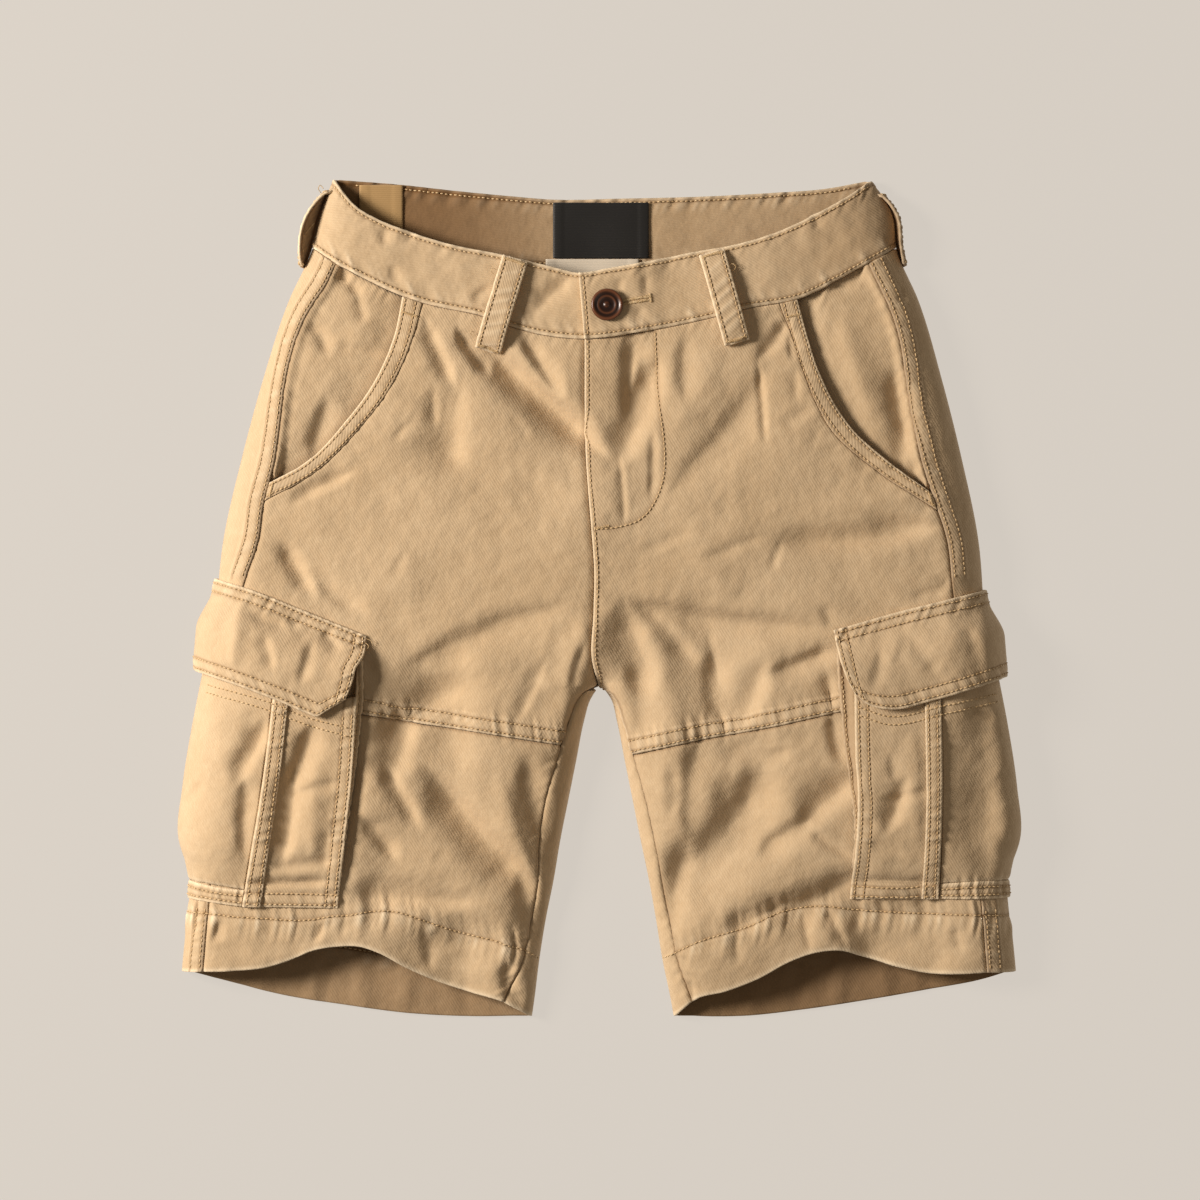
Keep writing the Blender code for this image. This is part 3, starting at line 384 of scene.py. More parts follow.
def wavy_plane(seed, longest, shortest, lean=0.0, spread=np.pi, count=18):
    """The same over a plane. Its waves run at the angle lean, give or take spread / 2."""
    chance = np.random.default_rng(seed)
    lengths = np.geomspace(longest, shortest, count) * chance.uniform(0.9, 1.1, count)
    angles = lean + chance.uniform(-0.5, 0.5, count) * spread
    phases = chance.uniform(0, 2 * np.pi, count)
    heights = lengths / lengths.max()
    heights /= np.sqrt((heights**2).sum() / 2)

    def read(x, y):
        total = np.zeros(np.broadcast(x, y).shape)
        for height, length, angle, phase in zip(heights, lengths, angles, phases):
            run = x * np.cos(angle) + y * np.sin(angle)
            total += height * np.sin(2 * np.pi * run / length + phase)
        return total

    return read


swells = wavy_plane(3, 95, 34)
ripples = wavy_plane(5, 26, 9)
patches = wavy_plane(8, 120, 50)
print("ripples at one spot:", round(float(ripples(10.0, 20.0)), 2))

# %% [markdown]
# ## The creases
#
# Soft troughs and ridges are what make cloth look like cloth. A simulation would find its own, but
# these shorts have theirs in known places: pulled from the fly to the pockets, from the crotch across
# the thighs, and slanting over each knee. Each row is one crease: two ends, half its width, its height
# (below 0 for a trough), and how far its middle bows sideways.

# %% Tables of creases
CREASES = (
    # x0, y0, x1, y1, half_width, height, bow
    # Right front, above the thigh seam.
    (-78, 163, 3, 86, 10.5, -6.8, -1),
    (-88, 167, -70, 138, 5, -3.0, 1),
    (-108, 173, -90, 131, 5, -2.2, 1),
    (-49, 163, -23, 126, 5.5, -2.6, 1),
    (-104, 130, -102, 108, 4, -0.9, 0),
    (-117, 110, -128, 98, 3, -0.5, 0),
    (-88, 130, -93, 84, 12, -2.1, 0),
    (-57, 115, -44, 99, 2.5, -0.5, 0),
    (-118, 97, -22, 64, 14, -2.2, 0),
    (-190, 60, -154, 79, 5, -1.7, 0),
    (-197, 34, -177, 4, 6, -2.8, 0),
    (-178, 16, -146, -8, 6, -1.7, 2),
    (-129, 14, -122, 27, 4, -0.5, 0),
    (-140, -86, -90, -56, 13, -3.1, 0),
    (-118, -40, -20, -4, 10, -2.5, -2),
    (-10, -16, -25, -94, 15, 2.8, 0),
    (-35, -38, -51, -76, 5, -1.0, 0),
    (-10, -26, -18, -60, 3.5, -1.4, 1),
    (-144, -35, -136, -52, 3.5, -1.1, 0),
    # Right slant pocket's facing, and the waistband above it.
    (-166, 203, -149, 186, 4, -1.6, -2),
    (-149, 186, -147, 172, 4, -1.2, 0),
    (-178.5, 170, -168, 152, 5, -1.5, 0),
    (-168, 156, -133, 153, 4, -1.2, 1),
    (-170, 122, -177, 90, 7, -1.8, 0),
    (-168.5, 236, -168.5, 230, 3, -0.8, 0),
    (-133, 230, -135, 219.5, 4, -1.0, 0),
    (-117, 228, -117, 221, 3.5, -0.8, 0),
    (-128, 205, -129, 196, 4, -0.8, 0),
    (-78.5, 185, -69, 194, 4, -0.9, 0),
    (-38, 180, -20, 198, 6, -2.0, 0),
    # Left front, above the thigh seam.
    (12, 197, 12, 189, 4, -0.9, 0),
    (28, 201, 27, 188, 3, -0.9, 0),
    (25, 180, 25, 170, 4, -0.7, 0),
    (21, 162, 18, 116, 10, -2.9, 0),
    (37, 144, 10, 82, 11, -3.6, 0),
    (23, 150, 20, 128, 3.5, 0.9, 0),
    (35, 148, 30, 130, 5, -1.0, 0),
    (52, 160, 52, 126, 7, -1.5, 0),
    (12, 88, 14, 44, 3, -0.8, -1),
    (33, 106, 31, 60, 3.5, -1.0, 0),
    (118, 172, 98, 148, 4.5, -2.0, 0),
    (104, 144, 44, 64, 9, -1.6, -2),
    (97, 148, 102, 94, 2.5, -1.3, -1),
    (117, 166, 118, 148, 3, -0.8, 0),
    (121, 138, 121, 122, 4, -0.8, 0),
    (131, 120, 112, 108, 4, -0.8, 0),
    (136, 103, 129, 94, 3, -0.5, 0),
    (70, 150, 45, 100, 10, 0.6, 0),
    (92, 110, 72, 70, 10, -0.7, 0),
    (106, 34, 204, 44, 9, -3.2, 2),
    (165, 52, 203, 44, 7, -1.0, 0),
    (24, 29, 60, 42, 4, -0.7, 0),
    (60, 24, 104, 40, 4, -0.7, 0),
    (106, 18, 112, 36, 3, -0.8, 0),
    (193, 1, 208, 6, 4, -0.8, 0),
    (208, 1, 214, 14, 4, -0.8, 0),
    (8, 0, 140, -19, 9, -3.3, 3),
    (138, -4, 142, -17, 3.5, -0.8, 0),
    (16, -8, 29, -56, 13, -4.4, 0),
    (22, -44, 27, -88, 11, -3.3, 0),
    (22, -4, 58, -36, 8, -2.2, 0),
    (69, -34, 78, -80, 10, -2.6, 2),
    (67, -20, 75, -56, 3, -0.8, 0),
    (58, -14, 66, -92, 30, -3.4, 0),
    (101, -42, 86, -78, 9, -2.7, 0),
    (146, -31, 103, -48, 6, -2.3, 1),
    (140, -46, 143, -68, 4.5, -1.5, 0),
    (141, -72, 149, -100, 6.5, -2.1, 0),
    # Left slant pocket's facing, the waistband above it, and the panel beside it.
    (142, 191, 165, 204, 5, -1.2, 0),
    (150, 178, 168, 108, 9, 1.2, 0),
    (183, 142, 186, 86, 8, -3.0, -3),
    (132, 238, 134, 229, 3, -0.8, 0),
    (187, 192, 187, 183, 3, -0.8, 0),
    (220, 115, 216, 92, 4, -1.0, 0),
    # Right leg below the thigh seam.
    (-107, -108, -40, -181, 13, -6.3, 0),
    (-49, -172, -39, -212, 9, -2.8, 0),
    (-133, -102, -112, -142, 5.5, -1.9, 0),
    (-146, -136, -127, -160, 6, -2.2, 0),
    (-122, -74, -127, -108, 12, -2.9, 0),
    (-139, -64, -151, -184, 12, 1.9, 0),
    (-92, -40, -92, -104, 24, -3.9, 0),
    (-46, -99, -37, -148, 10, -3.3, 0),
    (-62, -108, -43, -176, 7, 1.2, 0),
    (-158, -181, -78, -187, 9, -3.0, 1),
    (-106, -190, -104, -203, 3, -1.2, 0),
    (-109, -202, -105, -228, 5, -1.2, 0),
    (-88, -202, -84, -252, 30, -5.4, 0),
    (-59, -224, -58, -246, 4, -1.0, 0),
    (-58, -226, -50, -252, 6, -2.0, 0),
    (-235, -200, -239, -211, 3.5, -0.9, 0),
    (-171, -202, -176, -211, 3, -0.9, 0),
    # Left leg below the thigh seam.
    (97, -117, 50, -183, 24, -6.8, 1),
    (51, -150, 45, -206, 11, -3.2, 2),
    (59, -88, 54, -142, 10, -2.7, 0),
    (86, -86, 74, -120, 12, -2.3, 0),
    (97, -88, 92, -126, 16, -3.2, 0),
    (45, -104, 44, -134, 6, -1.5, 0),
    (36, -100, 40, -130, 5, 0.6, 0),
    (156, -110, 126, -140, 10, -3.3, 1),
    (127, -136, 100, -158, 8, -2.4, 0),
    (128, -141, 157, -161, 3.4, -1.3, 0),
    (162, -174, 106, -194, 14, -5.8, -2),
    (114, -188, 78, -204, 8, -2.6, 0),
    (115, -94, 104, -96, 4, -0.7, 0),
    (84, -204, 86, -226, 4, -0.6, 0),
    (125, -194, 129, -216, 3.5, -1.0, 0),
    (141, -191, 151, -214, 4, -1.3, 0),
    (163, -186, 166, -224, 22, -5.0, 0),
    (201, -188, 204, -228, 26, -4.0, 0),
    (223, -217, 220, -203, 3.5, -1.0, 0),
    (56, -236, 58, -249, 2.5, -1.0, 0),
)
POCKET_CREASES = (
    (-259, -128, -245, -112, 3.5, -1.0, 0),
    (-176, -80, -190, -112, 8, -3.0, 0),
    (-188, -104, -196, -162, 8, -3.2, 0),
    (-178, -92, -176, -160, 7, 1.0, 0),
    (-169, -143, -169, -166, 5, -0.9, 0),
    (-222, -176, -161, -174, 3, -1.6, 0),
    (250, -105, 258, -124, 5, -1.1, 0),
    (246, -156, 260, -147, 5, -1.1, 0),
    (188, -112, 177, -142, 6, -2.2, 0),
    (178, -97, 181, -111, 4, -0.9, 0),
    (192, -80, 196, -150, 6, 0.8, 0),
    (160, -174, 208, -175, 3, -1.6, 0),
    (170, -124, 205, -116, 4, -0.9, 1),
    (166, -150, 186, -158, 4, -1.0, 0),
    (-190, -120, -160, -112, 4, -0.9, 0),
    (-204, -166, -162, -160, 5, -1.2, 1),
)
# Only the pleats: they fold in under the strips.
PLEAT_CREASES = (
    (-207, -78, -223, -112, 7, -2.6, 0),
    (-219, -108, -219, -160, 6, -1.8, 0),
    (232, -60, 235, -168, 18, -4.5, -4),
    (244, -74, 226, -66, 4, -1.2, 0),
    (-240, -70, -252, -84, 4, -0.8, 0),
)
FLAP_CREASES = (
    (-213, -10, -193, -18, 4, -1.2, 0),
    (-191, -17, -180, -12, 4, -1.0, 0),
    (-207, -22, -201, -44, 4, -1.1, 0),
    (-178, -27, -184, -52, 4, -1.2, 0),
    (-171, -20, -160, -31, 4, -1.0, 0),
    (-222, 2, -226, -44, 5, 1.0, 0),
    (-232, -12, -236, -34, 6, -0.7, 0),
    (193, -27, 205, -46, 6, -0.9, 0),
    (225, -18, 234, -42, 6, -0.8, 0),
    (172, -34, 168, -54, 5, -0.9, 0),
    (184, -20, 178, -40, 5, 0.7, 0),
    (237, 0, 241, -48, 11, 1.5, 0),
)
print(len(CREASES) + len(POCKET_CREASES) + len(PLEAT_CREASES) + len(FLAP_CREASES), "creases placed")

# %% [markdown]
# ## The shape of one crease
#
# A trough in pulled cloth lifts a low bank on each side, and it gets narrower and dies away at both
# ends. The profile, (1 - 0.3 q squared) times a bell curve, has both banks in one formula. One flank is
# steeper than the other, as where cloth is pulled from one side.

# %% Creases as a height
CREASE_DEPTH = 1.8  # all the heights of the tables, times this
CREASE_FADE = 0.28  # the share of its length over which a crease dies away
CREASE_OVERRUN = 0.8  # how far it runs on past its ends, in half widths
FLANKS = (1.28, 0.78)  # how wide a crease's one flank is, in even and odd rows: the two make 2
SWELL, RIPPLE = 0.5, 0.2  # mm


def creases(x, y, table):
    """The height that a table's creases add at plan points."""
    total = np.zeros(np.broadcast(x, y).shape)
    for number, (x0, y0, x1, y1, half_width, height, bow) in enumerate(table):
        length = math.hypot(x1 - x0, y1 - y0)
        run_x, run_y = (x1 - x0) / length, (y1 - y0) / length
        reach = 3 * half_width + abs(bow)
        near = np.abs(x - (x0 + x1) / 2) < abs(x1 - x0) / 2 + reach
        near &= np.abs(y - (y0 + y1) / 2) < abs(y1 - y0) / 2 + reach
        px, py = x[near] - x0, y[near] - y0
        share = (px * run_x + py * run_y) / length
        wander = 0.1 * half_width * np.sin(5.0 * share + number)
        off = px * run_y - py * run_x - 4 * bow * share * (1 - share) - wander
        slack = CREASE_OVERRUN * half_width / length
        ends = slack + CREASE_FADE
        fade = ease((share + slack) / ends) * ease((1 + slack - share) / ends)
        flank = np.where(off > 0, FLANKS[number % 2], 2 - FLANKS[number % 2])
        q = off / (half_width * (0.4 + 0.6 * fade) * flank)
        total[near] += CREASE_DEPTH * height * fade * (1 - 0.3 * q * q) * np.exp(-q * q)
    return total


def unevenness(x, y):
    """Broad swells and fine ripples, livelier in some patches than in others."""
    lively = 0.6 + 0.4 * np.tanh(patches(x, y))
    return SWELL * swells(x, y) + RIPPLE * lively * ripples(x, y)


def front(x, y, lift=0.0, extra=()):
    """The creased front, moved out by lift, with the creases of one more table."""
    x, y = np.broadcast_arrays(np.asarray(x, float), np.asarray(y, float))
    relief = creases(x, y, CREASES) + unevenness(x, y)
    if extra:
        relief = relief + creases(x, y, extra)
    return pillow(x, y, lift, relief)


def on_front(plan, lift=0.0, extra=()):
    """Points of the plan, put on the creased front."""
    return np.dstack([plan[..., 0], plan[..., 1], front(plan[..., 0], plan[..., 1], lift, extra)])


sample = front(np.linspace(-200, 200, 400), np.full(400, -120.0))
print("across the legs the front stands", round(sample.min(), 1), "to", round(sample.max(), 1), "mm high")

# %% [markdown]
# ## Grids between four edges
#
# A cut piece of cloth has four sides, more or less. `quilt` fills them with a grid of plan points, a
# Coons patch: every row and column runs smoothly from edge to edge, so seam details can follow the
# edges. `edges` then measures how far every point lies from each edge along the cloth.

# %% Grids
def quilt(top, foot, start, end, down, along):
    """A grid of plan points between four edges: rows go down, and columns go from start to end."""
    (top_start, top_end), (foot_start, foot_end) = top([0, 1]), foot([0, 1])
    top, foot, start, end = top(along), foot(along), start(down), end(down)
    v, u = down[:, None, None], along[None, :, None]
    grid = (1 - v) * top[None] + v * foot[None]
    grid = grid + (1 - u) * (start[:, None] - (1 - v) * top_start - v * foot_start)
    return grid + u * (end[:, None] - (1 - v) * top_end - v * foot_end)


def inset(points, by=EDGE_GAP):
    """The grid drawn in along its own rows and columns, so that seams keep their gap."""
    points = points.copy()
    for edge, inner in ((0, 1), (-1, -2)):
        step = points[inner] - points[edge]
        points[edge] += by * step / np.linalg.norm(step, axis=1, keepdims=True)
        step = points[:, inner] - points[:, edge]
        points[:, edge] += by * step / np.linalg.norm(step, axis=1, keepdims=True)
    return points


def facing(points, flip=False):
    """The direction that a grid of points faces."""
    normal = unit(np.cross(np.gradient(points, axis=1), np.gradient(points, axis=0)))
    return -normal if flip else normal


def edges(points):
    """How far each point lies from the four edges of its grid, in mm along the cloth."""
    across = np.linalg.norm(np.diff(points, axis=1), axis=2)
    down = np.linalg.norm(np.diff(points, axis=0), axis=2)
    start = np.pad(np.cumsum(across, axis=1), ((0, 0), (1, 0)))
    top = np.pad(np.cumsum(down, axis=0), ((1, 0), (0, 0)))
    return {"start": start, "end": start[:, -1:] - start, "top": top, "foot": top[-1:] - top}


def measured(points):
    """How far each point lies from the four edges, and where it lies in the plan."""
    return edges(points), points[..., 0], points[..., 1]


print("steps of a test run:", np.round(zones((3, 1), (6, 2), (3, 1)), 2))

# %% [markdown]
# ## What sewing does to cloth
#
# A flat-felled seam is a band about 10 mm wide that stands a little proud, because four layers lie in
# it. Two rows of stitches pull it down in fine grooves, and its edge rolls over. After washing, the
# thread has shrunk more than the cloth, so the band puckers, and the crests of the puckers and the
# edges wear pale. These functions turn a distance from an edge into height, wear and shade.

# %% Seams as height, wear and shade
ROW_NEAR, ROW_FAR = 1.9, 8.8  # the two rows of a felled seam, from its edge
FELL_WIDTH = 10.6


def bell(distance, place, half_width):
    """1 at a place, and falling away on both sides."""
    return np.exp(-(((distance - place) / half_width) ** 2))


def rolled_edge(distance, drop=0.7):
    """An edge that turns down in its last millimetre."""
    return -drop * bell(distance, 0.0, 0.9)


def sunk_rows(distance, rows, depth=0.4):
    """The grooves that rows of stitches pull."""
    return -depth * sum(bell(distance, row, 0.85) for row in rows)


def felled(distance, rows=(ROW_NEAR, ROW_FAR), width=FELL_WIDTH, stand=0.8):
    """The height of a felled seam at a distance from its edge."""
    raised = stand * (1 - ease((distance - width) / 1.5 + 0.5))
    return raised + rolled_edge(distance) + sunk_rows(distance, rows)


def puckers(along, distance, waves, reach, size=0.42, lean=0.5):
    """Short waves across a seam, strongest beside it and gone beyond their reach."""
    window = 1 - ease((distance - 0.35 * reach) / (0.65 * reach))
    return size * window * waves(along + lean * distance)


def worn(distance, crests, width=FELL_WIDTH):
    """How pale a seam has worn: its very edge, and the crests of its puckers."""
    inside = 1 - ease((distance - width) / 2)
    return 0.55 * bell(distance, 0.4, 1.0) + inside * np.clip(0.04 + 0.5 * crests, 0, 0.35)


def holed(distance, rows):
    """The painted shade in the needle's grooves."""
    return 0.55 * sum(bell(distance, row, 0.9) for row in rows)


WAIST_WAVES = wavy_line(21, 22, 4.5)
THIGH_WAVES = {RIGHT: wavy_line(22, 11, 3.4), LEFT: wavy_line(23, 11, 3.4)}
SIDE_WAVES = {RIGHT: wavy_line(24, 18, 4), LEFT: wavy_line(25, 18, 4)}
HEM_WAVES = {RIGHT: wavy_line(26, 22, 4.5), LEFT: wavy_line(27, 22, 4.5)}
POCKET_WAVES = wavy_line(28, 14, 3.6)
FLAP_WAVES = wavy_line(29, 18, 4)
INSIDE_WAVES = wavy_line(30, 16, 4.5)
print("a felled seam stands", round(float(felled(np.array(5.0))), 2), "mm proud between its rows")

# %% [markdown]
# ## Colours and nodes
#
# Colours are written as sRGB hex, as a dyer's card would give them, and `colour` turns them into
# Blender's linear light. `add` makes a node with its settings and its links, and short functions name
# what the common nodes do, so each material reads from top to bottom like a recipe.

# %% Colours and nodes
def colour(code):
    """A linear colour from sRGB hex."""
    srgb = [int(code[i:i + 2], 16) / 255 for i in (1, 3, 5)]
    return (*[c / 12.92 if c <= 0.04045 else ((c + 0.055) / 1.055) ** 2.4 for c in srgb], 1.0)


def add(tree, kind, inputs=(), **settings):
    """A new node with its settings. Each input is a value or another node's output."""
    made = tree.nodes.new(kind)
    for key, value in settings.items():
        setattr(made, key, value)
    for key, value in dict(inputs).items():
        if isinstance(value, bpy.types.NodeSocket):
            tree.links.new(value, made.inputs[key])
        else:
            made.inputs[key].default_value = value
    return made


def blend(tree, share, first, second):
    """The colour between two others."""
    return add(tree, "ShaderNodeMix", {0: share, 6: first, 7: second}, data_type="RGBA").outputs[2]


def noise(tree, vector, scale, detail=2.0):
    """Soft random blotches, smaller for a larger scale."""
    return add(tree, "ShaderNodeTexNoise", {"Vector": vector, "Scale": scale, "Detail": detail}).outputs[0]


def part_of(tree, value, low, high, most=1.0):
    """A share from 0 to most, as a value goes from low to high."""
    return add(tree, "ShaderNodeMapRange", {0: value, 1: low, 2: high, 4: most}).outputs[0]


def kept_number(tree, name):
    """A number that the mesh keeps at each of its points."""
    return add(tree, "ShaderNodeAttribute", attribute_name=name).outputs["Fac"]


def bump(tree, height, distance, strength, **under):
    """The surface's direction, bent by a height, with another bump's as the Normal under it."""
    inputs = {"Height": height, "Distance": distance, "Strength": strength, **under}
    return add(tree, "ShaderNodeBump", inputs).outputs[0]


def wave_scale(spacing):
    """The wave texture's scale for lines that lie some mm apart."""
    return math.pi / 10 / (spacing * MM)


def new_material(name, roughness, constants=()):
    """An empty material with its surface shader, whose constants stand on its own sockets."""
    material = bpy.data.materials.new(name)
    material.use_nodes = True
    tree = material.node_tree
    tree.nodes.clear()
    shader = add(tree, "ShaderNodeBsdfPrincipled", {"Roughness": roughness, **dict(constants)})
    output = add(tree, "ShaderNodeOutputMaterial", {"Surface": shader.outputs[0]})
    output.is_active_output = True
    return material, tree, shader


print("khaki in linear light:", [round(c, 3) for c in colour("#C5AC89")[:3]])

# %% [markdown]
# ## Cotton twill, garment-washed
#
# Twill is woven with a step at each pick, which draws fine diagonal lines on the face. Cotton is
# matte, with a weak soft sheen from its fibres. Washing after dyeing fades it in soft patches and
# leaves every edge and pucker paler. The weave lines of this cloth lie about 0.6 mm apart, and they
# are drawn wider here, 1.5 mm, so that they show from two metres away.

# %% The twill material
TWILL_LINE = 1.5  # mm between two diagonal lines
TWILL_ANGLE = math.radians(-32)
KHAKI = "#C5AC89"
KHAKI_FADED = "#CEB694"
KHAKI_DEEP = "#B2936C"
KHAKI_WORN = "#ECD9BA"
# the deep brown of painted shade
KHAKI_PAINTED_SHADE = "#6E4D28"


def make_twill():
    """Washed twill: diagonal lines, slubs, soft fading, pale wear, and painted shade in grooves, along
    seams and over shaded faces.
    """
    constants = {"Sheen Weight": 0.12, "Sheen Roughness": 0.6, "Specular IOR Level": 0.25}
    material, tree, shader = new_material("washed_cotton_twill", 0.88, constants)
    cloth = add(tree, "ShaderNodeUVMap", uv_map="cloth").outputs[0]
    place = add(tree, "ShaderNodeTexCoord").outputs["Object"]
    turned = add(tree, "ShaderNodeMapping", {"Vector": cloth, "Rotation": (0, 0, TWILL_ANGLE)})
    lines = add(tree, "ShaderNodeTexWave", {
        "Vector": turned.outputs[0], "Scale": wave_scale(TWILL_LINE), "Distortion": 1.2, "Detail": 2.0,
        "Detail Scale": 1.6, "Detail Roughness": 0.6,
    }).outputs["Fac"]
    # Slubs are thicker places in the yarn, a few mm long and one yarn wide.
    drawn_out = add(tree, "ShaderNodeMapping", {"Vector": cloth, "Scale": (1.0, 0.16, 1.0)})
    slubs = noise(tree, drawn_out.outputs[0], 1300.0)
    fading = noise(tree, place, 16.0, 4.0)
    mottle = noise(tree, place, 130.0, 3.0)
    crumple = noise(tree, place, 62.0, 3.0)
    washed = blend(tree, part_of(tree, fading, 0.35, 0.7), colour(KHAKI), colour(KHAKI_FADED))
    washed = blend(tree, part_of(tree, mottle, 0.3, 0.75, 0.22), washed, colour(KHAKI_DEEP))
    woven = blend(tree, part_of(tree, lines, 0.0, 1.0, 0.12), washed, colour(KHAKI_DEEP))
    woven = blend(tree, part_of(tree, slubs, 0.45, 0.75, 0.16), woven, colour(KHAKI_WORN))
    aged = blend(tree, kept_number(tree, "wear"), woven, colour(KHAKI_WORN))
    # The number shade blends in painted shade: in needle grooves, along seams, under edges and over some
    # whole faces.
    sewn = blend(tree, kept_number(tree, "shade"), aged, colour(KHAKI_PAINTED_SHADE))
    tree.links.new(sewn, shader.inputs["Base Color"])
    diagonals = bump(tree, lines, 0.0004, 0.24)
    fuzz = bump(tree, mottle, 0.0005, 0.5, Normal=diagonals)
    soft = bump(tree, crumple, 0.0016, 1.0, Normal=fuzz)
    tree.links.new(soft, shader.inputs["Normal"])
    return material


twill = make_twill()
print("made", twill.name, "with lines", TWILL_LINE, "mm apart")

# %% [markdown]
# ## Thread, horn-look plastic and label tape
#
# The seams are sewn with a core-spun polyester thread, dyed to match, which keeps more of its colour
# and a faint gloss. The waist button is moulded polyester with a burnt, coppery rim that has rubbed
# bare. The labels are woven tape with fine ribs across: two of glossy satin, and one of dull cotton.

# %% Thread, button and tape materials
def make_thread():
    """Tightly twisted sewing thread, slightly deeper than the cloth."""
    material, tree, shader = new_material("core_spun_thread", 0.62, {"Sheen Weight": 0.1})
    twist = noise(tree, add(tree, "ShaderNodeTexCoord").outputs["Object"], 900.0)
    twisted = blend(tree, part_of(tree, twist, 0.35, 0.65), colour("#BC9C6C"), colour("#DDC49A"))
    tree.links.new(twisted, shader.inputs["Base Color"])
    return material


def make_horn():
    """Dark moulded polyester, glossy, with a rim rubbed to copper brown."""
    material, tree, shader = new_material("moulded_polyester_button", 0.3, {"IOR": 1.52})
    clouds = noise(tree, add(tree, "ShaderNodeTexCoord").outputs["Object"], 260.0, 4.0)
    body = blend(tree, clouds, colour("#170C08"), colour("#2C1811"))
    rubbed = blend(tree, kept_number(tree, "wear"), body, colour("#6A4029"))
    tree.links.new(rubbed, shader.inputs["Base Color"])
    tree.links.new(bump(tree, clouds, 0.0002, 0.15), shader.inputs["Normal"])
    return material


def make_tape(name, base, other, roughness, rib):
    """Woven tape with ribs across it, drawn every rib mm."""
    material, tree, shader = new_material(name, roughness, {"Sheen Weight": 0.15})
    cloth = add(tree, "ShaderNodeUVMap", uv_map="cloth").outputs[0]
    inputs = {"Vector": cloth, "Scale": wave_scale(rib), "Distortion": 0.6, "Detail": 1.0}
    ribs = add(tree, "ShaderNodeTexWave", inputs, bands_direction="Y").outputs["Fac"]
    specks = noise(tree, cloth, 1500.0)
    share = add(tree, "ShaderNodeMath", {0: ribs, 1: specks}, operation="MULTIPLY").outputs[0]
    woven = blend(tree, share, colour(base), colour(other))
    worn_tape = blend(tree, kept_number(tree, "wear"), woven, colour(other))
    tree.links.new(worn_tape, shader.inputs["Base Color"])
    tree.links.new(bump(tree, ribs, 0.0003, 0.4), shader.inputs["Normal"])
    return material


thread = make_thread()
horn = make_horn()
black_satin = make_tape("black_woven_satin", "#0D0D0D", "#1E1C1B", 0.5, rib=1.0)
# The tan tape's own colour, made darker with painted shade for the shaded inside of the back.
tan_tape = make_tape("tan_cotton_tape", "#A38354", "#B8986A", 0.8, rib=1.2)
white_tape = make_tape("off_white_satin_tape", "#CFC4B2", "#E6DDCC", 0.6, rib=1.0)
print("made", thread.name, horn.name, black_satin.name, tan_tape.name, white_tape.name)

# %% [markdown]
# ## From a grid to a sheet of cloth
#
# A sheet of cloth is two faces a millimetre apart with a rounded edge between them. Blender's Solidify
# modifier could add the thickness, but then both faces would show the same relief. Here each face has its
# own: a felled seam stands out on one side, and the turned hem on the other. Each sheet also keeps two
# numbers at every point for its colour: how worn it is, and how much painted shade it carries.

# %% Sheets of cloth
SHEETS = {}  # each sheet's two faces, as points and directions


def rim_of(rows, cols):
    """The places round the edge of a grid, in order."""
    rim = [(0, j) for j in range(cols)] + [(i, cols - 1) for i in range(1, rows)]
    rim += [(rows - 1, j) for j in range(cols - 2, -1, -1)] + [(i, 0) for i in range(rows - 2, 0, -1)]
    return np.array(rim).T


def shell_faces(rows, cols, flip):
    """The faces of two grids and the round edge between them."""
    number = np.arange(rows * cols).reshape(rows, cols)
    outer = np.stack([number[:-1, :-1], number[:-1, 1:], number[1:, 1:], number[1:, :-1]], axis=2)
    outer = outer.reshape(-1, 4)
    inner = outer[:, ::-1] + rows * cols
    i, j = rim_of(rows, cols)
    here, ring = number[i, j], 2 * rows * cols + np.arange(len(i))
    there, next_ring = np.roll(here, -1), np.roll(ring, -1)
    upper = np.column_stack([there, here, ring, next_ring])
    lower = np.column_stack([next_ring, ring, here + rows * cols, there + rows * cols])
    faces = np.concatenate([outer, inner, upper, lower])
    return faces[:, ::-1] if flip else faces


def both_faces(values, points, rim):
    """One number for each point of the outer face, the inner face and the ring between them."""
    outer, inner = values if isinstance(values, tuple) else (values, values)
    outer = np.broadcast_to(np.clip(outer, 0, 1), points.shape[:2])
    inner = np.broadcast_to(np.clip(inner, 0, 1), points.shape[:2])
    return np.concatenate([outer.ravel(), inner.ravel(), outer[rim[0], rim[1]]])


def put(name, data):
    """A new object in the scene: a mesh, a lamp or a camera."""
    made = bpy.data.objects.new(name, data)
    bpy.context.scene.collection.objects.link(made)
    return made


def new_piece(name, vertices, faces, material, numbers=()):
    """A smooth shaded piece on the garment's body, with a number or two at each point."""
    mesh = bpy.data.meshes.new(name)
    mesh.from_pydata((vertices * MM).tolist(), [], faces)
    for key, values in dict(numbers).items():
        mesh.attributes.new(key, "FLOAT", "POINT").data.foreach_set("value", values.astype(np.float32))
    mesh.materials.append(material)
    mesh.shade_smooth()
    piece = put(name, mesh)
    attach(piece, "root")
    return piece


def lay_weave(mesh, flat):
    """Keep each point's place on the uncut cloth, for the weave."""
    corner = np.empty(len(mesh.loops), np.int32)
    mesh.loops.foreach_get("vertex_index", corner)
    layer = mesh.uv_layers.new(name="cloth")
    layer.data.foreach_set("uv", (flat[corner] * MM).astype(np.float32).ravel())


def swung(points, degrees):
    """Plan coordinates turned by an angle, for a piece that is cut on another grain."""
    angle = np.radians(degrees)
    x, y = points[..., 0], points[..., 1]
    return np.dstack([x * np.cos(angle) - y * np.sin(angle), x * np.sin(angle) + y * np.cos(angle)])


